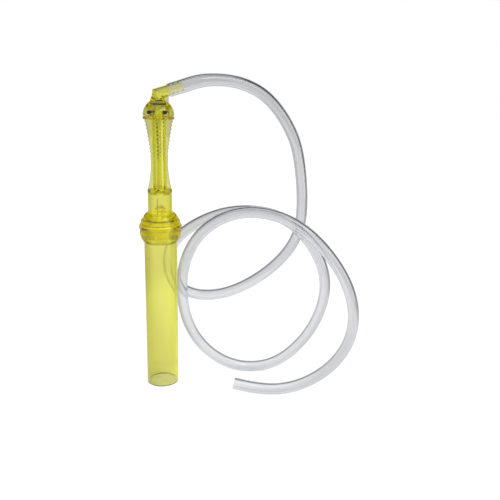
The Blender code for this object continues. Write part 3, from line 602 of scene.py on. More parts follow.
@dataclass
class Barrel:
    """The barrel that stands in the liquid, its collar and the gland's seal."""

    wardrobe: Wardrobe
    wall: float = 1.8 * MM
    draft: float = 0.3 * MM  # how much smaller the foot's radius is
    rebate: float = 0.5 * MM
    cut_height: float = 0.7 * MM  # of the painted contact shade on the foot's cut end
    # how dark the painted contact shade on the cut end is
    cut_shade: float = 0.8
    skirt_lip: float = 0.9 * MM
    belly_height: float = 10.5 * MM
    belly_bulge: float = 0.8 * MM
    collar_height: float = 14.3 * MM
    shoulder: float = 3.0 * MM
    shoulder_clearance: float = 0.8 * MM
    seal_groove: float = 0.6 * MM
    lead_in: float = 1.1 * MM  # chamfer at the spigot's top
    plain: float = 0.5 * MM  # stretch of the spigot under its thread
    thread_start: float = 0.8 * MM
    thread_past: float = 5.0 * MM  # how far above the spigot the thread would fade out

    def build(self) -> None:
        """Build the three pieces."""
        self.intake_tube()
        self.collar()
        self.seal()

    def intake_tube(self) -> None:
        """The open tube, with painted shade on its cut foot where it stands on the floor, and a rebate under
        the collar.
        """
        tube = Extent.of("intake_tube")
        foot = tube.radius - self.draft
        bore = foot - self.wall
        cut_z = tube.bottom + self.cut_height
        rebate_r = tube.radius - self.rebate
        rebate_z = Extent.of("barrel_collar").bottom - GAP
        profile = Profile().to(bore, cut_z + SUPPORT).to(bore, cut_z).to(bore, tube.bottom, 0.15)
        profile.to(foot, tube.bottom, 0.25).to(foot, cut_z).to(foot, cut_z + SUPPORT)
        profile.to(tube.radius, rebate_z, 0.2).to(rebate_r, rebate_z, 0.1)
        profile.to(rebate_r, tube.top, 0.4).to(tube.radius - self.wall, tube.top, 0.4)
        grid = turned(profile.outline(), FINE)
        piece = self.wardrobe.mould("intake_tube", grid, Finish.THIN_ACRYLIC)
        # painted shade: the cut foot's points are painted darker, for the contact shadow where the tube
        # stands on the floor
        paint_darkening(piece, np.where(grid[..., 2] < cut_z + MERGE, self.cut_shade, 0))

    def collar(self) -> None:
        """The bellied collar: a socket over the tube, a shoulder, and a threaded spigot round the seal."""
        tube, collar, seal = (Extent.of(node) for node in ("intake_tube", "barrel_collar", "gland_seal"))
        bore = tube.radius - self.wall
        socket_r, socket_z = tube.radius - self.rebate + GAP, tube.top + GAP
        spigot_r = Extent.of("thrust_ring").radius + GAP
        pocket_r = seal.radius + GAP
        floor_z = seal.bottom - GAP
        hole_r = Extent.of("pump_tube").radius + self.shoulder_clearance
        ledge_z = collar.bottom + self.collar_height
        profile = Profile().to(socket_r, collar.bottom, 0.2)
        profile.to(socket_r + self.skirt_lip, collar.bottom, 0.4)
        profile.bow(collar.radius, collar.bottom + self.belly_height, self.belly_bulge)
        profile.to(collar.radius, ledge_z, 1.2).to(spigot_r, ledge_z, 0.3).to(spigot_r, ledge_z + self.plain)
        profile.climb(collar.top - self.lead_in).to(spigot_r - self.lead_in, collar.top, 0.2)
        profile.to(pocket_r, collar.top, 0.3).to(pocket_r, floor_z, 0.4)
        profile.to(hole_r, floor_z, 0.3).to(hole_r, floor_z - self.shoulder, 0.3)
        profile.to(bore, floor_z - self.shoulder, 0.5).to(bore, socket_z, 0.3).to(socket_r, socket_z, 0.3)
        thread = Thread(ledge_z + self.thread_start, collar.top + self.thread_past)
        grid = thread.cut(turned(profile.outline(), FINE), spigot_r)
        self.wardrobe.mould("barrel_collar", grid, Finish.THICK_LIGHTENED_ACRYLIC)

    def seal(self) -> None:
        """The soft seal, with rounded lips and a groove round its inside."""
        seal = Extent.of("gland_seal")
        bore = Extent.of("pump_tube").radius + GAP
        middle = (seal.bottom + seal.top) / 2
        half = (seal.top - seal.bottom) / 6
        profile = Profile.ring(bore, seal.radius, seal.bottom, seal.top, (0.6, 0.5, 0.5, 0.6))
        profile.to(bore, middle + half, 0.5).to(bore + self.seal_groove, middle, 0.5)
        profile.to(bore, middle - half, 0.5)
        self.wardrobe.mould("gland_seal", turned(profile.outline(), FINE), Finish.SILICONE)


@dataclass
class Gland:
    """The ring and the nut that press the seal."""

    wardrobe: Wardrobe
    bore_clearance: float = 0.4 * MM
    entry_height: float = 3.3 * MM  # of the thrust ring under its flange
    wall: float = 2.2 * MM
    bead: float = 1.9 * MM
    small_bead: float = 0.7 * MM
    groove_height: float = 3.0 * MM
    crown_foot: float = 1.9 * MM
    crown_step: float = 1.3 * MM
    crown_bulge: float = 0.5 * MM
    notch: float = 0.6 * MM
    lip: float = 2.0 * MM
    plain_top: float = 1.0 * MM  # stretches of the bore above and under its thread
    plain_foot: float = 0.8 * MM
    thread_start: float = 1.6 * MM
    thread_short: float = 0.4 * MM  # how far below the spigot's top the thread has faded out

    def build(self) -> None:
        """Build the ring and the nut."""
        self.thrust_ring()
        self.nut()

    def thrust_ring(self) -> None:
        """The flanged ring."""
        ring = Extent.of("thrust_ring")
        bore = Extent.of("pump_tube").radius + self.bore_clearance
        entry = Extent.of("gland_seal").radius
        flange_z = ring.bottom + self.entry_height
        profile = Profile().to(bore, ring.bottom, 0.3).to(entry, ring.bottom, 0.4).to(entry, flange_z, 0.3)
        profile.to(ring.radius, flange_z, 0.3).to(ring.radius, ring.top, 0.4).to(bore, ring.top, 0.4)
        self.wardrobe.mould("thrust_ring", turned(profile.outline(), FINE), Finish.THICK_LIGHTENED_ACRYLIC)

    def nut(self) -> None:
        """The nut: two beads to grip it by, a round crown, and a thread inside that runs in the spigot's."""
        nut, ring = Extent.of("gland_nut"), Extent.of("thrust_ring")
        bore = Extent.of("pump_tube").radius + self.bore_clearance
        inner = ring.radius + 2 * GAP
        seat_z = ring.top + GAP
        wall_r = inner + self.wall
        crown_r, crown_z = wall_r - self.crown_step, seat_z + self.crown_foot
        profile = Profile().to(inner, nut.bottom, 0.3).to(wall_r + self.bead / 3, nut.bottom, 0.7)
        profile.bow(wall_r, (nut.bottom + seat_z) / 2 + self.groove_height, self.bead, 0.3)
        profile.bow(crown_r, crown_z, self.small_bead, 0.2)
        profile.to(crown_r - self.notch, crown_z + self.notch / 2, 0.2)
        profile.bow(bore + self.lip, nut.top, self.crown_bulge, 0.8).to(bore, nut.top, 0.5)
        profile.to(bore, seat_z, 0.3).to(inner, seat_z, 0.3).to(inner, seat_z - self.plain_top)
        profile.climb(nut.bottom + self.plain_foot)
        thread = Thread(nut.bottom + self.thread_start, Extent.of("barrel_collar").top - self.thread_short)
        grid = thread.cut(turned(profile.outline(), FINE), inner)
        self.wardrobe.mould("gland_nut", grid, Finish.THICK_LIGHTENED_ACRYLIC)


@dataclass
class Pump:
    """The sliding tube with its stop ring, its valve seat, and the finned grip on top."""

    wardrobe: Wardrobe
    wall: float = 2.0 * MM
    stop_seat: float = 0.6 * MM
    seam_width: float = 1.6 * MM
    seam_depth: float = 0.35 * MM
    # how much darker the seam's groove is painted
    seam_darkness: float = 0.9
    seam_turn: float = math.radians(4)  # from the front to the left
    seam_end: float = 6.0 * MM  # of the parting line under the grip's plate
    seam_length: float = 20.0 * MM
    seam_fade: float = 0.4 * MM
    seam_columns: int = 9
    port: float = 8.0 * MM
    arms: int = 3
    arm_width: float = 2.2 * MM
    arm_foot: float = 0.5 * MM
    arm_height: float = 3.0 * MM
    arm_sunk: float = 0.6 * MM  # into the seat's rim
    hub_clearance: float = 0.4 * MM
    stem: float = 2.5 * MM
    hub_wall: float = 1.5 * MM
    hub_drop: float = 1.0 * MM
    plate: float = 2.4 * MM
    grip_length: float = 81.2 * MM
    tube: float = 7.5 * MM
    bore: float = 5.0 * MM
    fins: int = 4
    fin_thickness: float = 2.4 * MM
    fin_round: float = 0.5 * MM  # of the fins' edges
    fin_fillet: float = 0.9 * MM  # of their roots
    fin_foot: float = 13.9 * MM
    fin_waist: float = 9.9 * MM
    fin_top: float = 16.6 * MM
    waist_height: float = 30.7 * MM
    foot_curve: float = 1.85
    top_curve: float = 1.55
    smooth_rows: int = 28
    teeth: int = 10
    tooth_pitch: float = 4.4 * MM
    tooth_depth: float = 1.3 * MM
    tooth_rows: int = 10
    edge_shade: float = 0.4  # painted shade on the fins' edges, and 1 in the valleys between their teeth
    flange: float = 3.5 * MM
    swivel: float = 10.3 * MM  # radius of the spigot
    pin_groove: float = 3.5 * MM  # depth of the groove that the pins run in
    ring_groove: float = 1.6 * MM
    ring_columns: int = 24

    def build(self) -> None:
        """Build the pump's pieces."""
        self.pump_tube()
        self.stop_ring()
        self.inlet_seat()
        self.grip()
        self.sealing_ring()

    def pump_tube(self) -> None:
        """The tube, with the stop ring's groove round its foot and the mould's parting line on its front,
        whose groove is painted darker.
        """
        tube, stop = Extent.of("pump_tube"), Extent.of("stop_ring")
        bore, groove = tube.radius - self.wall, tube.radius - self.stop_seat
        groove_z, groove_top = stop.bottom - GAP, stop.top + GAP
        profile = Profile().to(bore, tube.bottom, 0.4).to(tube.radius, tube.bottom, 0.4)
        profile.to(tube.radius, groove_z, 0.2).to(groove, groove_z, 0.1)
        profile.to(groove, groove_top, 0.1).to(tube.radius, groove_top, 0.2)
        seam_top = tube.top - self.seam_end
        seam_foot = seam_top - self.seam_length
        for height in (seam_foot, seam_foot + self.seam_fade, seam_top - self.seam_fade, seam_top):
            profile.to(tube.radius, height)
        profile.to(tube.radius, tube.top, 0.3).to(bore, tube.top, 0.3)

        front = 0.75 * TURN - self.seam_turn
        half = self.seam_width / 2
        beside = np.linspace(-1, 1, self.seam_columns) * half / tube.radius
        angle = np.sort(np.concatenate([FINE, front + beside]))
        grid = turned(profile.outline(), angle)
        x, y, height = np.moveaxis(grid, -1, 0)
        outside = np.abs(np.hypot(x, y) - tube.radius) < MERGE
        reach = np.clip(1 - np.abs(angle - front) * tube.radius / half, 0, 1)
        within = np.abs(height - (seam_foot + seam_top) / 2) < (self.seam_length - self.seam_fade) / 2
        sunk = np.where(outside & within, reach, 0)
        grid[..., :2] *= (1 - self.seam_depth * sunk / tube.radius)[..., None]
        piece = self.wardrobe.mould("pump_tube", grid, Finish.THIN_ACRYLIC)
        # the seam's groove is painted darker, most at its deepest
        paint_darkening(piece, self.seam_darkness * sunk)

    def stop_ring(self) -> None:
        """The ring that keeps the tube in the barrel."""
        stop = Extent.of("stop_ring")
        inner = Extent.of("pump_tube").radius - self.stop_seat + GAP
        profile = Profile.ring(inner, stop.radius, stop.bottom, stop.top, (0.2, 0.6, 0.6, 0.2))
        self.wardrobe.mould("stop_ring", turned(profile.outline(), FINE), Finish.THICK_LIGHTENED_ACRYLIC)

    def inlet_seat(self) -> None:
        """The valve's seat: a rim, a hub for the poppet's stem, and arms between them."""
        seat = Extent.of("inlet_seat")
        rim = Profile.ring(self.port, seat.radius, seat.bottom, seat.top, (0.5, 0.3, 0.3, 0.7))
        hub_bore = self.stem + self.hub_clearance
        hub_r = hub_bore + self.hub_wall
        hub = Profile.ring(hub_bore, hub_r, seat.bottom, seat.top - self.hub_drop, (0.3, 0.3, 0.3, 0.3))
        half = self.arm_width / 2
        arm = Profile.ring(-half, half, 0, self.arm_height, (0.4, 0.4, 0.4, 0.4)).outline()
        start = (hub_bore + hub_r) / 2
        beam = prism(arm, start, self.port + self.arm_sunk)
        tools = [add_surface("seat_hub", turned(hub.outline(), SMALL))]
        for turn in columns(self.arms):
            tool = add_surface("seat_arm", beam, closed=False)
            lift = Matrix.Translation((0, 0, seat.bottom + self.arm_foot))
            tool.data.transform(Matrix.Rotation(turn, 4, "Z") @ lift)
            tools.append(tool)
        piece = add_surface("inlet_seat_moulding", turned(rim.outline(), FINE))
        boolean(piece, tools, Operation.JOIN)
        self.wardrobe.dress(piece, "inlet_seat", Finish.THICK_LIGHTENED_ACRYLIC)

    def fin_edge(self, height: np.ndarray) -> np.ndarray:
        """Half width over the fins: a power curve on each side of the waist, scalloped by the teeth.

        Args:
            height: Heights over the plate.

        Returns:
            The half width at each height. Each tooth is a parabola between two sharp valleys.
        """
        waist, length = self.waist_height, self.grip_length
        below = np.clip(1 - height / waist, 0, 1) ** self.foot_curve
        above = np.clip((height - waist) / (length - waist), 0, 1) ** self.top_curve
        spread = (self.fin_foot - self.fin_waist) * below + (self.fin_top - self.fin_waist) * above
        return self.fin_waist + spread - self.tooth_depth * self.valley(height)

    def valley(self, height: np.ndarray) -> np.ndarray:
        """How deep the teeth are at a height, from 0 on a crest to 1 in a valley."""
        place = (height - (self.grip_length - self.teeth * self.tooth_pitch)) / self.tooth_pitch
        return np.where(place > 0, (2 * (place % 1) - 1) ** 2, 0)

    def fin_section(self) -> np.ndarray:
        """Columns of the grip's cross-section: one fin with its share of the tube, 45 degrees to each side.

        Returns:
            For each column, its share of the fin's reach, what it adds to that along the fin, and its
            distance from the fin's middle plane.
        """
        half = self.fin_thickness / 2
        turn = np.linspace(0, TURN / 4, 4)
        arc = self.fin_round * np.stack([np.cos(turn), np.sin(turn)], axis=1) + (0, half - self.fin_round)
        edge = np.concatenate([[(self.fin_round, 0)], arc])
        reach = np.linspace(1, 0, 8)[1:]
        flank = np.outer(np.ones_like(reach), (0, half))
        joint = math.atan2(half, self.fin_root) + self.fin_fillet / self.tube
        start = np.array((self.fin_root + self.fin_fillet, half))
        end = self.tube * np.array((math.cos(joint), math.sin(joint)))
        t = np.linspace(0, 1, 5)[1:, None]
        corner = (1 - t) ** 2 * start + 2 * t * (1 - t) * np.array((self.fin_root, half)) + t**2 * end
        angle = np.linspace(joint, TURN / (2 * self.fins), 6)[1:]
        wall = self.tube * np.stack([np.cos(angle), np.sin(angle)], axis=1)
        root = np.concatenate([corner, wall]) - (start[0], 0)
        share = np.concatenate([np.ones(len(edge)), reach, np.zeros(len(root))])
        section = np.column_stack([share, np.concatenate([edge, flank, root])])
        return np.concatenate([section[-2:0:-1] * (1, 1, -1), section])

    @property
    def fin_root(self) -> float:
        """Distance from the axis at which a fin's flank meets the tube."""
        return math.sqrt(self.tube**2 - (self.fin_thickness / 2) ** 2)

    def finned_rows(self, heights: np.ndarray, section: np.ndarray) -> np.ndarray:
        """Rows of the fins' cross-section, with the fins' reach set by fin_edge.

        Args:
            heights: The rows' heights over the plate.
            section: Columns of one fin, from fin_section.

        Returns:
            A grid of points over the plate, with the columns of every fin in turn.
        """
        reach, extra, side = section.T
        inner = self.fin_root + self.fin_fillet
        along = inner + np.outer(self.fin_edge(heights) - self.fin_round - inner, reach) + extra
        turn = columns(self.fins)[:, None]
        x = along[:, None] * np.cos(turn) - side * np.sin(turn)
        y = along[:, None] * np.sin(turn) + side * np.cos(turn)
        z = np.broadcast_to(heights[:, None, None], x.shape)
        return np.stack([x, y, z], axis=-1).reshape(len(heights), -1, 3)

    def grip(self) -> None:
        """The grip as one closed grid: up the outside from the plug to the spigot's mouth, and down the bore.

        Rows outside the finned stretch are circles whose columns lie at the cross-section's own polar angles.
        """
        grip, pump = Extent.of("grip_handle"), Extent.of("pump_tube")
        plate_z = pump.top + GAP
        plate_top = plate_z + self.plate
        flange_z = plate_top + self.grip_length
        flange_top = flange_z + self.flange
        plug_r = pump.radius - self.wall - GAP

        first_tooth = self.grip_length - self.teeth * self.tooth_pitch
        plain = np.linspace(0, first_tooth, self.smooth_rows)[:-1]
        toothed = np.linspace(first_tooth, self.grip_length, self.teeth * self.tooth_rows + 1)
        heights = np.concatenate([plain, toothed])
        section = self.fin_section()
        finned = self.finned_rows(heights, section) + (0, 0, plate_top)
        waist = finned[np.argmin(np.abs(heights - self.waist_height))]
        angle = np.arctan2(waist[:, 1], waist[:, 0])

        foot = Profile().to(self.bore, grip.bottom, 0.5).to(plug_r, grip.bottom, 0.5)
        foot.to(plug_r, plate_z, 0.2).to(pump.radius, plate_z, 0.3)
        foot.to(pump.radius, plate_top, 0.5).to(self.tube, plate_top)
        head = Profile().to(self.tube, flange_z).to(grip.radius, flange_z, 0.6)
        head.to(grip.radius, flange_top, 0.7).to(self.swivel, flange_top, 0.5)
        for node, depth in (("swivel_pin_left", self.pin_groove), ("head_o_ring", self.ring_groove)):
            bottom, top = Extent.of(node).bottom - GAP, Extent.of(node).top + GAP
            head.to(self.swivel, bottom, 0.3).to(self.swivel - depth, bottom, 0.2)
            head.to(self.swivel - depth, top, 0.2).to(self.swivel, top, 0.3)
        head.to(self.swivel, grip.top, 0.4).to(self.bore, grip.top, 0.5)
        low_rows = turned(foot.outline(closed=False)[:-1], angle)
        high_rows = turned(head.outline(closed=False)[1:], angle)
        grid = np.concatenate([low_rows, finned, high_rows])
        piece = self.wardrobe.mould("grip_handle", grid, Finish.THIN_ACRYLIC)

        # painted shade: the fins' edges are painted darker for their dark outlines, and the valleys between
        # the teeth darkest, where shade falls
        on_edge = np.tile(section[:, 0] == 1, self.fins)
        depth = self.edge_shade + (1 - self.edge_shade) * self.valley(heights)
        painted_darkening = np.zeros(grid.shape[:2])
        painted_darkening[len(low_rows) : -len(high_rows)] = np.outer(depth, on_edge)
        paint_darkening(piece, painted_darkening)

    def sealing_ring(self) -> None:
        """The round-section ring in the spigot's upper groove."""
        ring = Extent.of("head_o_ring")
        section = (ring.top - ring.bottom) / 2
        turn = columns(self.ring_columns)
        radius = ring.radius - section + section * np.cos(turn)
        height = (ring.top + ring.bottom) / 2 + section * np.sin(turn)
        grid = turned(np.stack([radius, height], axis=1), FINE)
        self.wardrobe.mould("head_o_ring", grid, Finish.SILICONE)


@dataclass
class InletValve:
    """The poppet with its arrow head, and its washer."""

    wardrobe: Wardrobe
    stem: float = 2.5 * MM
    flange: float = 2.0 * MM
    body: float = 4.5 * MM
    neck_height: float = 25.0 * MM
    barb: float = 6.4 * MM
    barb_edge: float = 1.2 * MM
    tip: float = 0.8 * MM

    def build(self) -> None:
        """Build the poppet and the washer."""
        poppet, washer = Extent.of("inlet_poppet"), Extent.of("inlet_washer")
        flange_z = washer.top + GAP
        flange_top = flange_z + self.flange
        barb_z = flange_top + self.neck_height
        profile = Profile().to(0, poppet.bottom).to(self.stem, poppet.bottom, 0.5)
        profile.to(self.stem, flange_z, 0.3).to(washer.radius, flange_z, 0.3)
        profile.to(washer.radius, flange_top, 0.4).to(self.body, flange_top + self.flange, 0.8)
        profile.to(self.body, barb_z, 0.3).to(self.barb, barb_z, 0.3)
        profile.to(self.barb, barb_z + self.barb_edge, 0.5).to(self.tip, poppet.top, 0.4).to(0, poppet.top)
        grid = turned(profile.outline(closed=False), SMALL)
        self.wardrobe.mould("inlet_poppet", grid, Finish.THICK_LIGHTENED_ACRYLIC, closed=False)

        bore = self.stem + GAP
        ring = Profile.ring(bore, washer.radius, washer.bottom, washer.top, (0.3, 0.4, 0.4, 0.3))
        self.wardrobe.mould("inlet_washer", turned(ring.outline(), SMALL), Finish.SILICONE)


@dataclass
class OutletHead:
    """The swivelling head: dome, elbow, web and barb in one moulding, with its pins and its disc."""

    wardrobe: Wardrobe
    wall: float = 1.6 * MM
    rim_height: float = 2.4 * MM
    dome_height: float = 13.2 * MM
    dome_top: float = 10.2 * MM
    dome_bulge: float = 1.6 * MM
    neck_height: float = 7.8 * MM
    neck: float = 6.7 * MM
    neck_bulge: float = 0.7 * MM
    neck_short: float = 0.4 * MM  # of the waisted stretch under the elbow
    socket: float = 12.6 * MM
    socket_bore: float = 10.7 * MM
    socket_lift: float = 1.4 * MM
    socket_free: float = 9.5 * MM
    disc_room: float = 0.6 * MM
    disc_lift: float = 1.9 * MM
    elbow: float = 6.4 * MM
    arm: float = 6.4 * MM
    bore: float = 4.5 * MM
    rise: float = math.radians(17.6)
    elbow_height: float = 1.0 * MM
    arm_length: float = 12.7 * MM
    elbow_share: float = 0.55  # of the arm's length, before its rings stand square
    barb_length: float = 16.2 * MM
    barb_root: float = 5.1 * MM
    barb_peak: float = 5.95 * MM
    barbs: int = 3
    barb_flat: float = 0.6
    web_thickness: float = 1.6 * MM
    web_reach: float = 11.8 * MM
    web_root: float = 5.2 * MM
    web_sunk: float = 0.9 * MM  # into the walls that it joins
    pins: tuple[str, ...] = ("swivel_pin_left", "swivel_pin_right")

    @property
    def crossing(self) -> float:
        """Height where the neck's axis meets the arm's."""
        rim = Extent.of("outlet_head").bottom
        return rim + self.rim_height + self.dome_height + self.neck_height + self.elbow_height

    @property
    def direction(self) -> np.ndarray:
        """The way that the arm points."""
        return np.array((math.cos(self.rise), 0.0, math.sin(self.rise)))

    def build(self) -> None:
        """Build the head, its two black cross pins and the outlet valve's soft disc."""
        self.head()
        for node in self.pins:
            self.wardrobe.dress(self.pin_surface(node, 0.0, 0.0), node, Finish.NITRILE)
        disc = Extent.of("outlet_disc")
        profile = Profile.ring(0, disc.radius, disc.bottom, disc.top, (0.0, 0.4, 0.5, 0.0))
        grid = turned(profile.outline(closed=False), SMALL)
        self.wardrobe.mould("outlet_disc", grid, Finish.NITRILE, closed=False)

    def leg_rows(self, outline: np.ndarray, start: float) -> np.ndarray:
        """Rings round the neck's axis that lean over to the mitre's plane as they near the crossing.

        A ring at height z drops by x * slope * share on its side towards the arm, where share runs from 0 at
        the start to 1 at the crossing and slope is that of the plane that halves the bend.

        Args:
            outline: Rows of (radius, height).
            start: Height where the rings start to lean.

        Returns:
            A grid of points.
        """
        grid = turned(outline, FINE)
        slope = self.direction[0] / (1 + self.direction[2])
        share = np.clip((outline[:, 1] - start) / (self.crossing - start), 0, 1)
        grid[..., 2] -= grid[..., 0] * slope * share[:, None]
        return grid

    def arm_rows(self, outline: np.ndarray) -> np.ndarray:
        """Rings round the arm's axis, whose columns carry on from those of the neck.

        Args:
            outline: Rows of (radius, distance from the crossing).

        Returns:
            A grid of points.
        """
        across = np.array((0.0, 1.0, 0.0))
        upright = np.cross(self.direction, across)
        round_arm = np.outer(np.sin(FINE), across) - np.outer(np.cos(FINE), upright)
        radius, distance = outline.T
        centre = np.array((0, 0, self.crossing)) + np.outer(distance, self.direction)
        return centre[:, None] + radius[:, None, None] * round_arm

    def barb_profile(self) -> Profile:
        """The arm and its barb, whose ridges each drop square towards the elbow.

        Returns:
            A profile of radius and distance from the crossing.
        """
        square = self.arm_length * self.elbow_share
        profile = Profile().to(self.arm, square).to(self.arm, self.arm_length, 0.5)
        profile.to(self.barb_root, self.arm_length, 0.2)
        pitch = self.barb_length / self.barbs
        for i in range(self.barbs):
            start = self.arm_length + pitch * i
            peak = start + pitch * self.barb_flat
            profile.to(self.barb_root, peak, 0.2).to(self.barb_peak, peak, 0.15)
            profile.to(self.barb_root, start + pitch, 0.2)
        return profile.to(self.bore, self.arm_length + self.barb_length, 0.2).to(self.bore, square)

    def head(self) -> None:
        """The moulding as one closed grid: up the dome, round the elbow, out to the barb's tip and back.

        The web is then joined on and the pins' holes are cut out.
        """
        head, disc = Extent.of("outlet_head"), Extent.of("outlet_disc")
        rim_top = head.bottom + self.rim_height
        dome_z = rim_top + self.dome_height
        neck_z = dome_z + self.neck_height
        rim_r, inner_r = head.radius, head.radius - self.wall
        chamber_r, chamber_z = disc.radius + self.disc_room, disc.top + self.disc_lift
        mouth_z = head.bottom + self.socket_lift

        outside = Profile().to(inner_r, head.bottom, 0.4).to(rim_r, head.bottom, 0.6)
        outside.to(rim_r, rim_top, 0.8).bow(self.dome_top, dome_z, self.dome_bulge, 0.6)
        outside.bow(self.neck, neck_z - self.neck_short, -self.neck_bulge).to(self.elbow, self.crossing)
        inside = Profile().to(self.bore, self.crossing).to(self.bore, chamber_z, 0.8)
        inside.to(chamber_r, chamber_z, 0.8).to(chamber_r, disc.bottom, 0.2)
        inside.to(self.socket_bore, disc.bottom, 0.2).to(self.socket_bore, mouth_z, 0.4)
        inside.to(self.socket, mouth_z, 0.5).to(self.socket, mouth_z + self.socket_free, 0.8)
        inside.bow(inner_r, rim_top, -self.dome_bulge / 2)
        rows = [
            self.leg_rows(outside.outline(closed=False), dome_z),
            self.arm_rows(self.barb_profile().outline(closed=False)),
            self.leg_rows(inside.outline(closed=False), dome_z),
        ]
        piece = add_surface("outlet_head_moulding", np.concatenate(rows))
        boolean(piece, [self.web(dome_z, neck_z)], Operation.JOIN)
        boolean(piece, [self.pin_surface(node, GAP, self.wall * 4) for node in self.pins], Operation.CUT)
        self.wardrobe.dress(piece, "outlet_head", Finish.THIN_ACRYLIC)

    def web(self, dome_z: float, neck_z: float) -> bpy.types.Object:
        """The thin plate in the elbow's corner, from the dome's flank up to the arm.

        Args:
            dome_z: Height of the dome's top.
            neck_z: Height of the neck's top.

        Returns:
            The new object.
        """
        under_arm = self.crossing + self.web_reach * math.tan(self.rise) - self.arm
        corners = (
            (self.web_root, dome_z - self.web_sunk),
            (self.dome_top, dome_z - self.web_sunk),
            (self.web_reach, dome_z - 3 * self.web_sunk),
            (self.web_reach, under_arm + self.web_sunk),
            (self.web_root, neck_z - self.web_sunk),
        )
        half = self.web_thickness / 2
        y, x, z = np.moveaxis(prism(np.array(corners), -half, half), -1, 0)
        return add_surface("elbow_web", np.stack([x, y, z], axis=-1), closed=False)

    def pin_surface(self, node: str, clearance: float, past: float) -> bpy.types.Object:
        """A pin along Y with rounded ends, or the hole for it.

        Args:
            node: The pin's node.
            clearance: Added to the radius and to the back end.
            past: How much further its front end reaches.

        Returns:
            The new object.
        """
        pin = Extent.of(node)
        radius = (pin.top - pin.bottom) / 2 + clearance
        profile = Profile.ring(0, radius, pin.low.y - past, pin.high.y + clearance, (0.0, 0.4, 0.4, 0.0))
        x, z, y = np.moveaxis(turned(profile.outline(closed=False), COARSE), -1, 0)
        x, z = x + (pin.low.x + pin.high.x) / 2, z + (pin.bottom + pin.top) / 2
        return add_surface(node + "_rod", np.stack([x, y, z], axis=-1), closed=False)


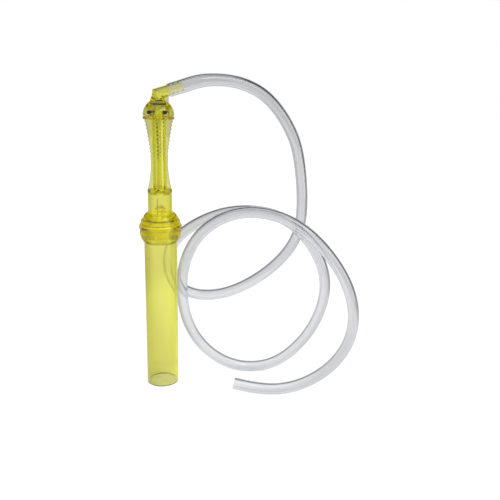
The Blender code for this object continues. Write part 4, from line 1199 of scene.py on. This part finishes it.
@dataclass
class Hose:
    """The clear hose, pushed over the barb and left in its own loops, with a bare cut end.

    Attributes:
        route: Centre of the hose past the barb, in millimetres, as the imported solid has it.
    """

    wardrobe: Wardrobe
    head: OutletHead
    radius: float = 7.0 * MM
    bore: float = 5.0 * MM
    stretch: float = 0.7 * MM  # growth of the radius on the barb
    taper: float = 50.0 * MM
    cling: float = 0.05 * MM  # how far the bore is pressed into the ridges
    sag: float = 0.3 * MM  # of the bore between two ridges
    spacing: float = 4.0 * MM
    fine_spacing: float = 0.8 * MM  # on the barb
    sides: int = 96
    per_span: int = 24
    route: tuple[tuple[float, float, float], ...] = (
        (46, 2, 372.2), (67, 8.5, 374.4), (98, 22, 370), (123, 32, 357), (145, 38, 333), (161, 42, 303),
        (169, 44, 270), (173, 45, 231), (168, 46, 184), (143, 47, 146), (109, 48, 119), (76, 48, 104),
        (50, 46, 101), (27, 43, 107), (10, 41, 123), (3, 40, 146), (8, 38, 168), (22, 37, 186), (43, 35, 201),
        (74, 33, 214), (114, 30, 218), (152, 28, 208), (184, 27, 179), (205, 27, 131), (199, 28, 83),
        (173, 30, 38), (136, 31, 11), (96, 29, 9.2), (58, 25, 30), (33, 20, 67), (24, 16, 107), (28, 12, 155),
        (51, 9, 196), (96, 6, 220), (156, 0, 212), (206, -8, 171), (236, -17, 107), (231, -21, 65),
        (201, -27, 28), (144, -32, 7.4), (92, -32, 14),
    )

    def centre_line(self) -> tuple[np.ndarray, np.ndarray]:
        """Points of the hose's centre, closer together on the barb, and how far along it they are.

        The line is straight on the barb, and then the natural cubic spline through the route: the curve of
        least bend, whose second derivatives solve one linear system.

        Returns:
            The points, and the distance of each one from the hose's start.
        """
        crossing = np.array((0, 0, self.head.crossing))
        start = self.head.arm_length + GAP
        tip = self.head.arm_length + self.head.barb_length
        on_barb = crossing + np.outer((start, (start + tip) / 2, tip), self.head.direction)
        knots = np.concatenate([on_barb, np.array(self.route) * MM])
        span = np.linalg.norm(np.diff(knots, axis=0), axis=1)
        slope = np.diff(knots, axis=0) / span[:, None]
        inner = np.diag(2 * (span[:-1] + span[1:])) + np.diag(span[1:-1], 1) + np.diag(span[1:-1], -1)
        bend = np.zeros_like(knots)
        bend[1:-1] = np.linalg.solve(inner, 6 * np.diff(slope, axis=0))
        share = (np.arange(self.per_span) / self.per_span)[None, :, None]
        rest = 1 - share
        sway = bend[:-1, None] * (rest**3 - rest) + bend[1:, None] * (share**3 - share)
        curve = knots[:-1, None] * rest + knots[1:, None] * share + span[:, None, None] ** 2 / 6 * sway
        dense = np.concatenate([curve.reshape(-1, 3), knots[-1:]])
        along = np.concatenate([[0], np.cumsum(np.linalg.norm(np.diff(dense, axis=0), axis=1))])
        fine = self.head.barb_length + self.fine_spacing
        count = round((along[-1] - fine) / self.spacing)
        places = np.concatenate([np.arange(0, fine, self.fine_spacing), np.linspace(fine, along[-1], count)])
        return np.stack([np.interp(places, along, axis) for axis in dense.T], axis=1), places

    def radii(self, places: np.ndarray) -> tuple[np.ndarray, np.ndarray]:
        """The bore's and the outside's radius along the hose.

        On the barb the bore clings to the ridges and sags between them, as a cosine over each ridge's pitch,
        and the outside follows it faintly. Past the barb both ease back to the hose's own size.

        Args:
            places: Distances along the hose.

        Returns:
            The radius of the bore and that of the outside at each place.
        """
        head = self.head
        eased = np.clip(1 - (places - head.barb_length) / self.taper, 0, 1)
        eased = eased**2 * (3 - 2 * eased)
        pitch = head.barb_length / head.barbs
        ridge = np.cos(TURN * (places / pitch - head.barb_flat))
        sag = self.sag / 2 * np.where(places < head.barb_length, 1 - ridge, 0)
        inside = self.bore + (head.barb_peak - self.cling - self.bore) * eased - sag
        return inside, self.radius + self.stretch * eased - sag / 2

    def build(self) -> None:
        """Build the tube: rings square to the centre line, out along the wall and back along the bore.

        The loops stand about upright, so the ring's sideways direction is the tangent crossed with Y.
        """
        centre, places = self.centre_line()
        tangent = np.gradient(centre, places, axis=0)
        tangent /= np.linalg.norm(tangent, axis=1)[:, None]
        sideways = np.cross(tangent, (0.0, 1.0, 0.0))
        sideways /= np.linalg.norm(sideways, axis=1)[:, None]
        upright = np.cross(sideways, tangent)
        angle = columns(self.sides)[:, None]
        ring = sideways[:, None] * np.cos(angle) + upright[:, None] * np.sin(angle)
        bore, wall = (centre[:, None] + ring * radius[:, None, None] for radius in self.radii(places))
        piece = add_surface("hose_extrusion", np.concatenate([wall, bore[::-1]]))
        self.wardrobe.dress(piece, "hose", Finish.VINYL)
        LOG.info("hose of %.3f m", places[-1])


@dataclass(frozen=True)
class Surround:
    """The background: white for the camera, and shaped for what clear and glossy surfaces show of it.

    Clear plastic shows its surround at its edges, so that surround is light grey behind and below, with a
    dark flag above the sweep, a paler one on its right, a floor in front and a ceiling. Each fade is a span
    of a direction's X, Y or Z.

    Attributes:
        sweep: Brightness behind the object.
        flag: Share of that on the flag above.
        right_flag: Share of that on the flag at the right.
        horizon: Share of that at eye level, where the sweep curves away from the lamps.
        right_side: Share of that towards the sweep's right.
        left_side: Share of that towards its left.
        table: Brightness of the floor in front.
        room: Brightness behind the camera.
        ceiling: Brightness overhead.
        ambient: Brightness of the world as it lights the floor.
    """

    sweep: float = 0.72
    flag: float = 0.08
    right_flag: float = 0.4
    horizon: float = 0.74
    right_side: float = 0.7
    left_side: float = 0.66
    table: float = 0.74
    room: float = 0.62
    ceiling: float = 0.9
    ambient: float = 0.25
    flag_fade: Span = (0.24, 0.42)
    right_flag_fade: Span = (0.5, 0.65)
    horizon_fade: Span = (-0.55, -0.3)
    right_fade: Span = (0.2, 0.55)
    left_fade: Span = (-0.25, -0.6)
    floor_fade: Span = (-0.35, -0.55)
    table_fade: Span = (-0.05, -0.25)
    front_fade: Span = (-0.05, -0.35)
    ceiling_fade: Span = (0.72, 0.84)

    def level(self, tree: bpy.types.NodeTree, way: bpy.types.NodeSocket) -> bpy.types.Node:
        """Brightness of the background in a direction: shares of the sweep, then parts laid over it.

        Each share follows X, Y or Z as a smooth step over its span. The shares multiply the sweep, and the
        floor, the front and the ceiling are then mixed in.

        Args:
            tree: The tree that the nodes go into.
            way: The direction.

        Returns:
            The node that gives the brightness.
        """
        x, y, z = add_node(tree, "SeparateXYZ", {"Vector": way}).outputs
        right, left, flag, horizon, right_flag, front, floor, near, overhead = (
            add_node(tree, "MapRange", dict(enumerate((axis, *span, *ends))), interpolation_type="SMOOTHSTEP")
            for axis, span, ends in (
                (x, self.right_fade, (1.0, self.right_side)),
                (x, self.left_fade, (1.0, self.left_side)),
                (z, self.flag_fade, (1.0, self.flag)),
                (z, self.horizon_fade, (1.0, self.horizon)),
                (x, self.right_flag_fade, (1.0, self.right_flag)),
                (z, self.table_fade, (self.room, self.table)),
                (z, self.floor_fade, (0.0, 1.0)),
                (y, self.front_fade, (0.0, 1.0)),
                (z, self.ceiling_fade, (0.0, 1.0)),
            )
        )
        edge = self.sweep
        for share in (right, left):
            edge = add_node(tree, "Math", {0: share, 1: edge}, operation="MULTIPLY")
        level = edge
        for share in (flag, horizon, right_flag):
            level = add_node(tree, "Math", {0: share, 1: level}, operation="MULTIPLY")
        for share, part in ((floor, edge), (near, front), (overhead, self.ceiling)):
            level = add_node(tree, "Mix", {"Factor": share, "A": level, "B": part})
        camera = add_node(tree, "LightPath").outputs["Is Camera Ray"]
        return add_node(tree, "Mix", {"Factor": camera, "A": level, "B": 1.0})

    def seen(self, tree: bpy.types.NodeTree) -> bpy.types.Node:
        """Which rays show the background: those from the camera, or by way of gloss or clear plastic.

        Args:
            tree: The tree that the nodes go into.

        Returns:
            The node that gives 1 for them and 0 for others.
        """
        path = add_node(tree, "LightPath").outputs
        either = add_node(tree, "Math", {0: path["Is Camera Ray"], 1: path["Is Glossy Ray"]})
        return add_node(tree, "Math", {0: either, 1: path["Is Transmission Ray"]}, use_clamp=True)

    def build(self) -> None:
        """Build the world: the background as rays see it, and a plain even level as a light."""
        world = bpy.data.worlds.new("studio")
        bpy.context.scene.world = world
        world.use_nodes = True
        tree = world.node_tree
        tree.nodes.clear()
        way = add_node(tree, "TexCoord").outputs["Generated"]
        levels = {"Factor": self.seen(tree), "A": self.ambient, "B": self.level(tree, way)}
        sky = add_node(tree, "Background", {"Color": WHITE, "Strength": add_node(tree, "Mix", levels)})
        add_node(tree, "OutputWorld", {"Surface": sky})


@dataclass(frozen=True)
class Lamp:
    """A rectangular lamp aimed at the object.

    Attributes:
        name: The lamp's name.
        place: Where it hangs.
        width: Its width.
        height: Its height.
        power: Its power in watts.
        mirrored: Whether gloss and clear plastic show it.
    """

    name: str
    place: tuple[float, float, float]
    width: float
    height: float
    power: float
    mirrored: bool

    def hang(self, target: Vector) -> None:
        """Add the lamp.

        Args:
            target: What it faces.
        """
        lamp = bpy.data.lights.new(self.name, "AREA")
        lamp.shape = "RECTANGLE"
        lamp.size = self.width
        lamp.size_y = self.height
        lamp.energy = self.power
        holder = bpy.data.objects.new(self.name, lamp)
        holder.visible_glossy = self.mirrored
        holder.visible_transmission = self.mirrored
        bpy.context.scene.collection.objects.link(holder)
        facing = (target - Vector(self.place)).to_track_quat("-Z", "Y").to_matrix().to_4x4()
        holder.matrix_world = Matrix.Translation(self.place) @ facing


@dataclass
class Studio:
    """A white floor and surround, three lamps, and the camera at the photograph's angle.

    Attributes:
        eye: Where the camera stands.
        pitch: How far it looks down.
        roll: How far the picture leans to the right.
        focal: Focal length over the picture's width.
        middle: Middle of the object, from which the floor is seen.
        floor_size: Width of the floor.
        floor_colour: Its colour in sRGB hex.
        near_lit: Brightness that the lamps give the floor round the object.
        far_lit: Brightness that they give it far away.
        lit_fade: Distances between which the one fades to the other.
        clamp: Most that one ray may bring from behind a clear surface.
        bounces: How many surfaces a ray may cross.
        lamps: A large softbox for the floor, a strip for the highlights, and a weak softbox on the right.
    """

    surround: Surround = Surround()
    eye: tuple[float, float, float] = (0.1085, -0.706, 0.3635)
    pitch: float = math.radians(14.9)
    roll: float = math.radians(1.25)
    focal: float = 1.2
    middle: tuple[float, float, float] = (0.1, 0.0, 0.2)
    floor_size: float = 8.0
    floor_colour: str = "#E8E8E8"
    near_lit: float = 0.23
    far_lit: float = 0.09
    lit_fade: Span = (0.35, 1.0)
    clamp: float = 0.85
    bounces: int = 48
    lamps: tuple[Lamp, ...] = (
        Lamp("top_softbox", (0.15, -0.6, 1.1), 1.2, 1.2, 3.2, False),
        Lamp("strip_light", (0.7, -0.62, 1.05), 0.9, 0.3, 2.8, True),
        Lamp("right_softbox", (0.8, -0.3, 0.35), 0.5, 0.5, 1.5, True),
    )

    def build(self) -> None:
        """Build the floor, the world, the lamps and the camera."""
        self.floor()
        self.surround.build()
        for lamp in self.lamps:
            lamp.hang(Vector(self.middle))
        self.camera()
        scene = bpy.context.scene
        scene.view_settings.view_transform = "Standard"
        scene.cycles.denoising_input_passes = "RGB"
        scene.cycles.sample_clamp_indirect = self.clamp
        scene.cycles.max_bounces = self.bounces
        scene.cycles.glossy_bounces = self.bounces
        scene.cycles.transmission_bounces = self.bounces
        scene.cycles.transparent_max_bounces = self.bounces

    def floor(self) -> None:
        """A plain pale floor that keeps the object's shadow.

        It glows by what the lamps' light on it lacks of the surround's brightness.
        """
        half = self.floor_size / 2
        mesh = bpy.data.meshes.new("floor")
        corners = [(-half, -half, 0), (half, -half, 0), (half, half, 0), (-half, half, 0)]
        mesh.from_pydata(corners, [], [(0, 1, 2, 3)])
        floor = bpy.data.objects.new("floor", mesh)
        bpy.context.scene.collection.objects.link(floor)
        material, tree = empty_material("white_floor")
        where = add_node(tree, "TexCoord").outputs["Object"]
        offset = add_node(tree, "VectorMath", {0: where, 1: self.middle}, operation="SUBTRACT")
        way = add_node(tree, "VectorMath", {0: offset}, operation="NORMALIZE").outputs["Vector"]
        reach = add_node(tree, "VectorMath", {0: where}, operation="LENGTH").outputs["Value"]
        lit = dict(enumerate((reach, *self.lit_fade, self.near_lit, self.far_lit)))
        shares = {
            0: self.surround.level(tree, way),
            1: add_node(tree, "MapRange", lit, interpolation_type="SMOOTHSTEP"),
        }
        lack = add_node(tree, "Math", shares, operation="SUBTRACT", use_clamp=True)
        glow = add_node(tree, "Math", {0: self.surround.seen(tree), 1: lack}, operation="MULTIPLY")
        paint = add_node(tree, "BsdfDiffuse", {"Color": linear(self.floor_colour)})
        light = add_node(tree, "Emission", {"Color": WHITE, "Strength": glow})
        add_node(tree, "OutputMaterial", {"Surface": add_node(tree, "AddShader", {0: paint, 1: light})})
        mesh.materials.append(material)

    def camera(self) -> None:
        """The camera: pitched down and rolled, with no shift."""
        camera = bpy.data.cameras.new("camera")
        camera.sensor_width = 36.0
        camera.lens = self.focal * camera.sensor_width
        holder = bpy.data.objects.new("camera", camera)
        bpy.context.scene.collection.objects.link(holder)
        turn = Matrix.Rotation(math.pi / 2 - self.pitch, 4, "X") @ Matrix.Rotation(self.roll, 4, "Z")
        holder.matrix_world = Matrix.Translation(self.eye) @ turn
        bpy.context.scene.camera = holder


def main() -> None:
    """Build every sub-assembly and the studio."""
    logging.basicConfig(level=logging.INFO, format="%(name)s: %(message)s")
    wardrobe = Wardrobe(frame["record"])
    Studio().build()
    head = OutletHead(wardrobe)
    Hose(wardrobe, head).build()
    for assembly in (head, Pump(wardrobe), InletValve(wardrobe), Barrel(wardrobe), Gland(wardrobe)):
        assembly.build()


if __name__ == "__main__":
    main()
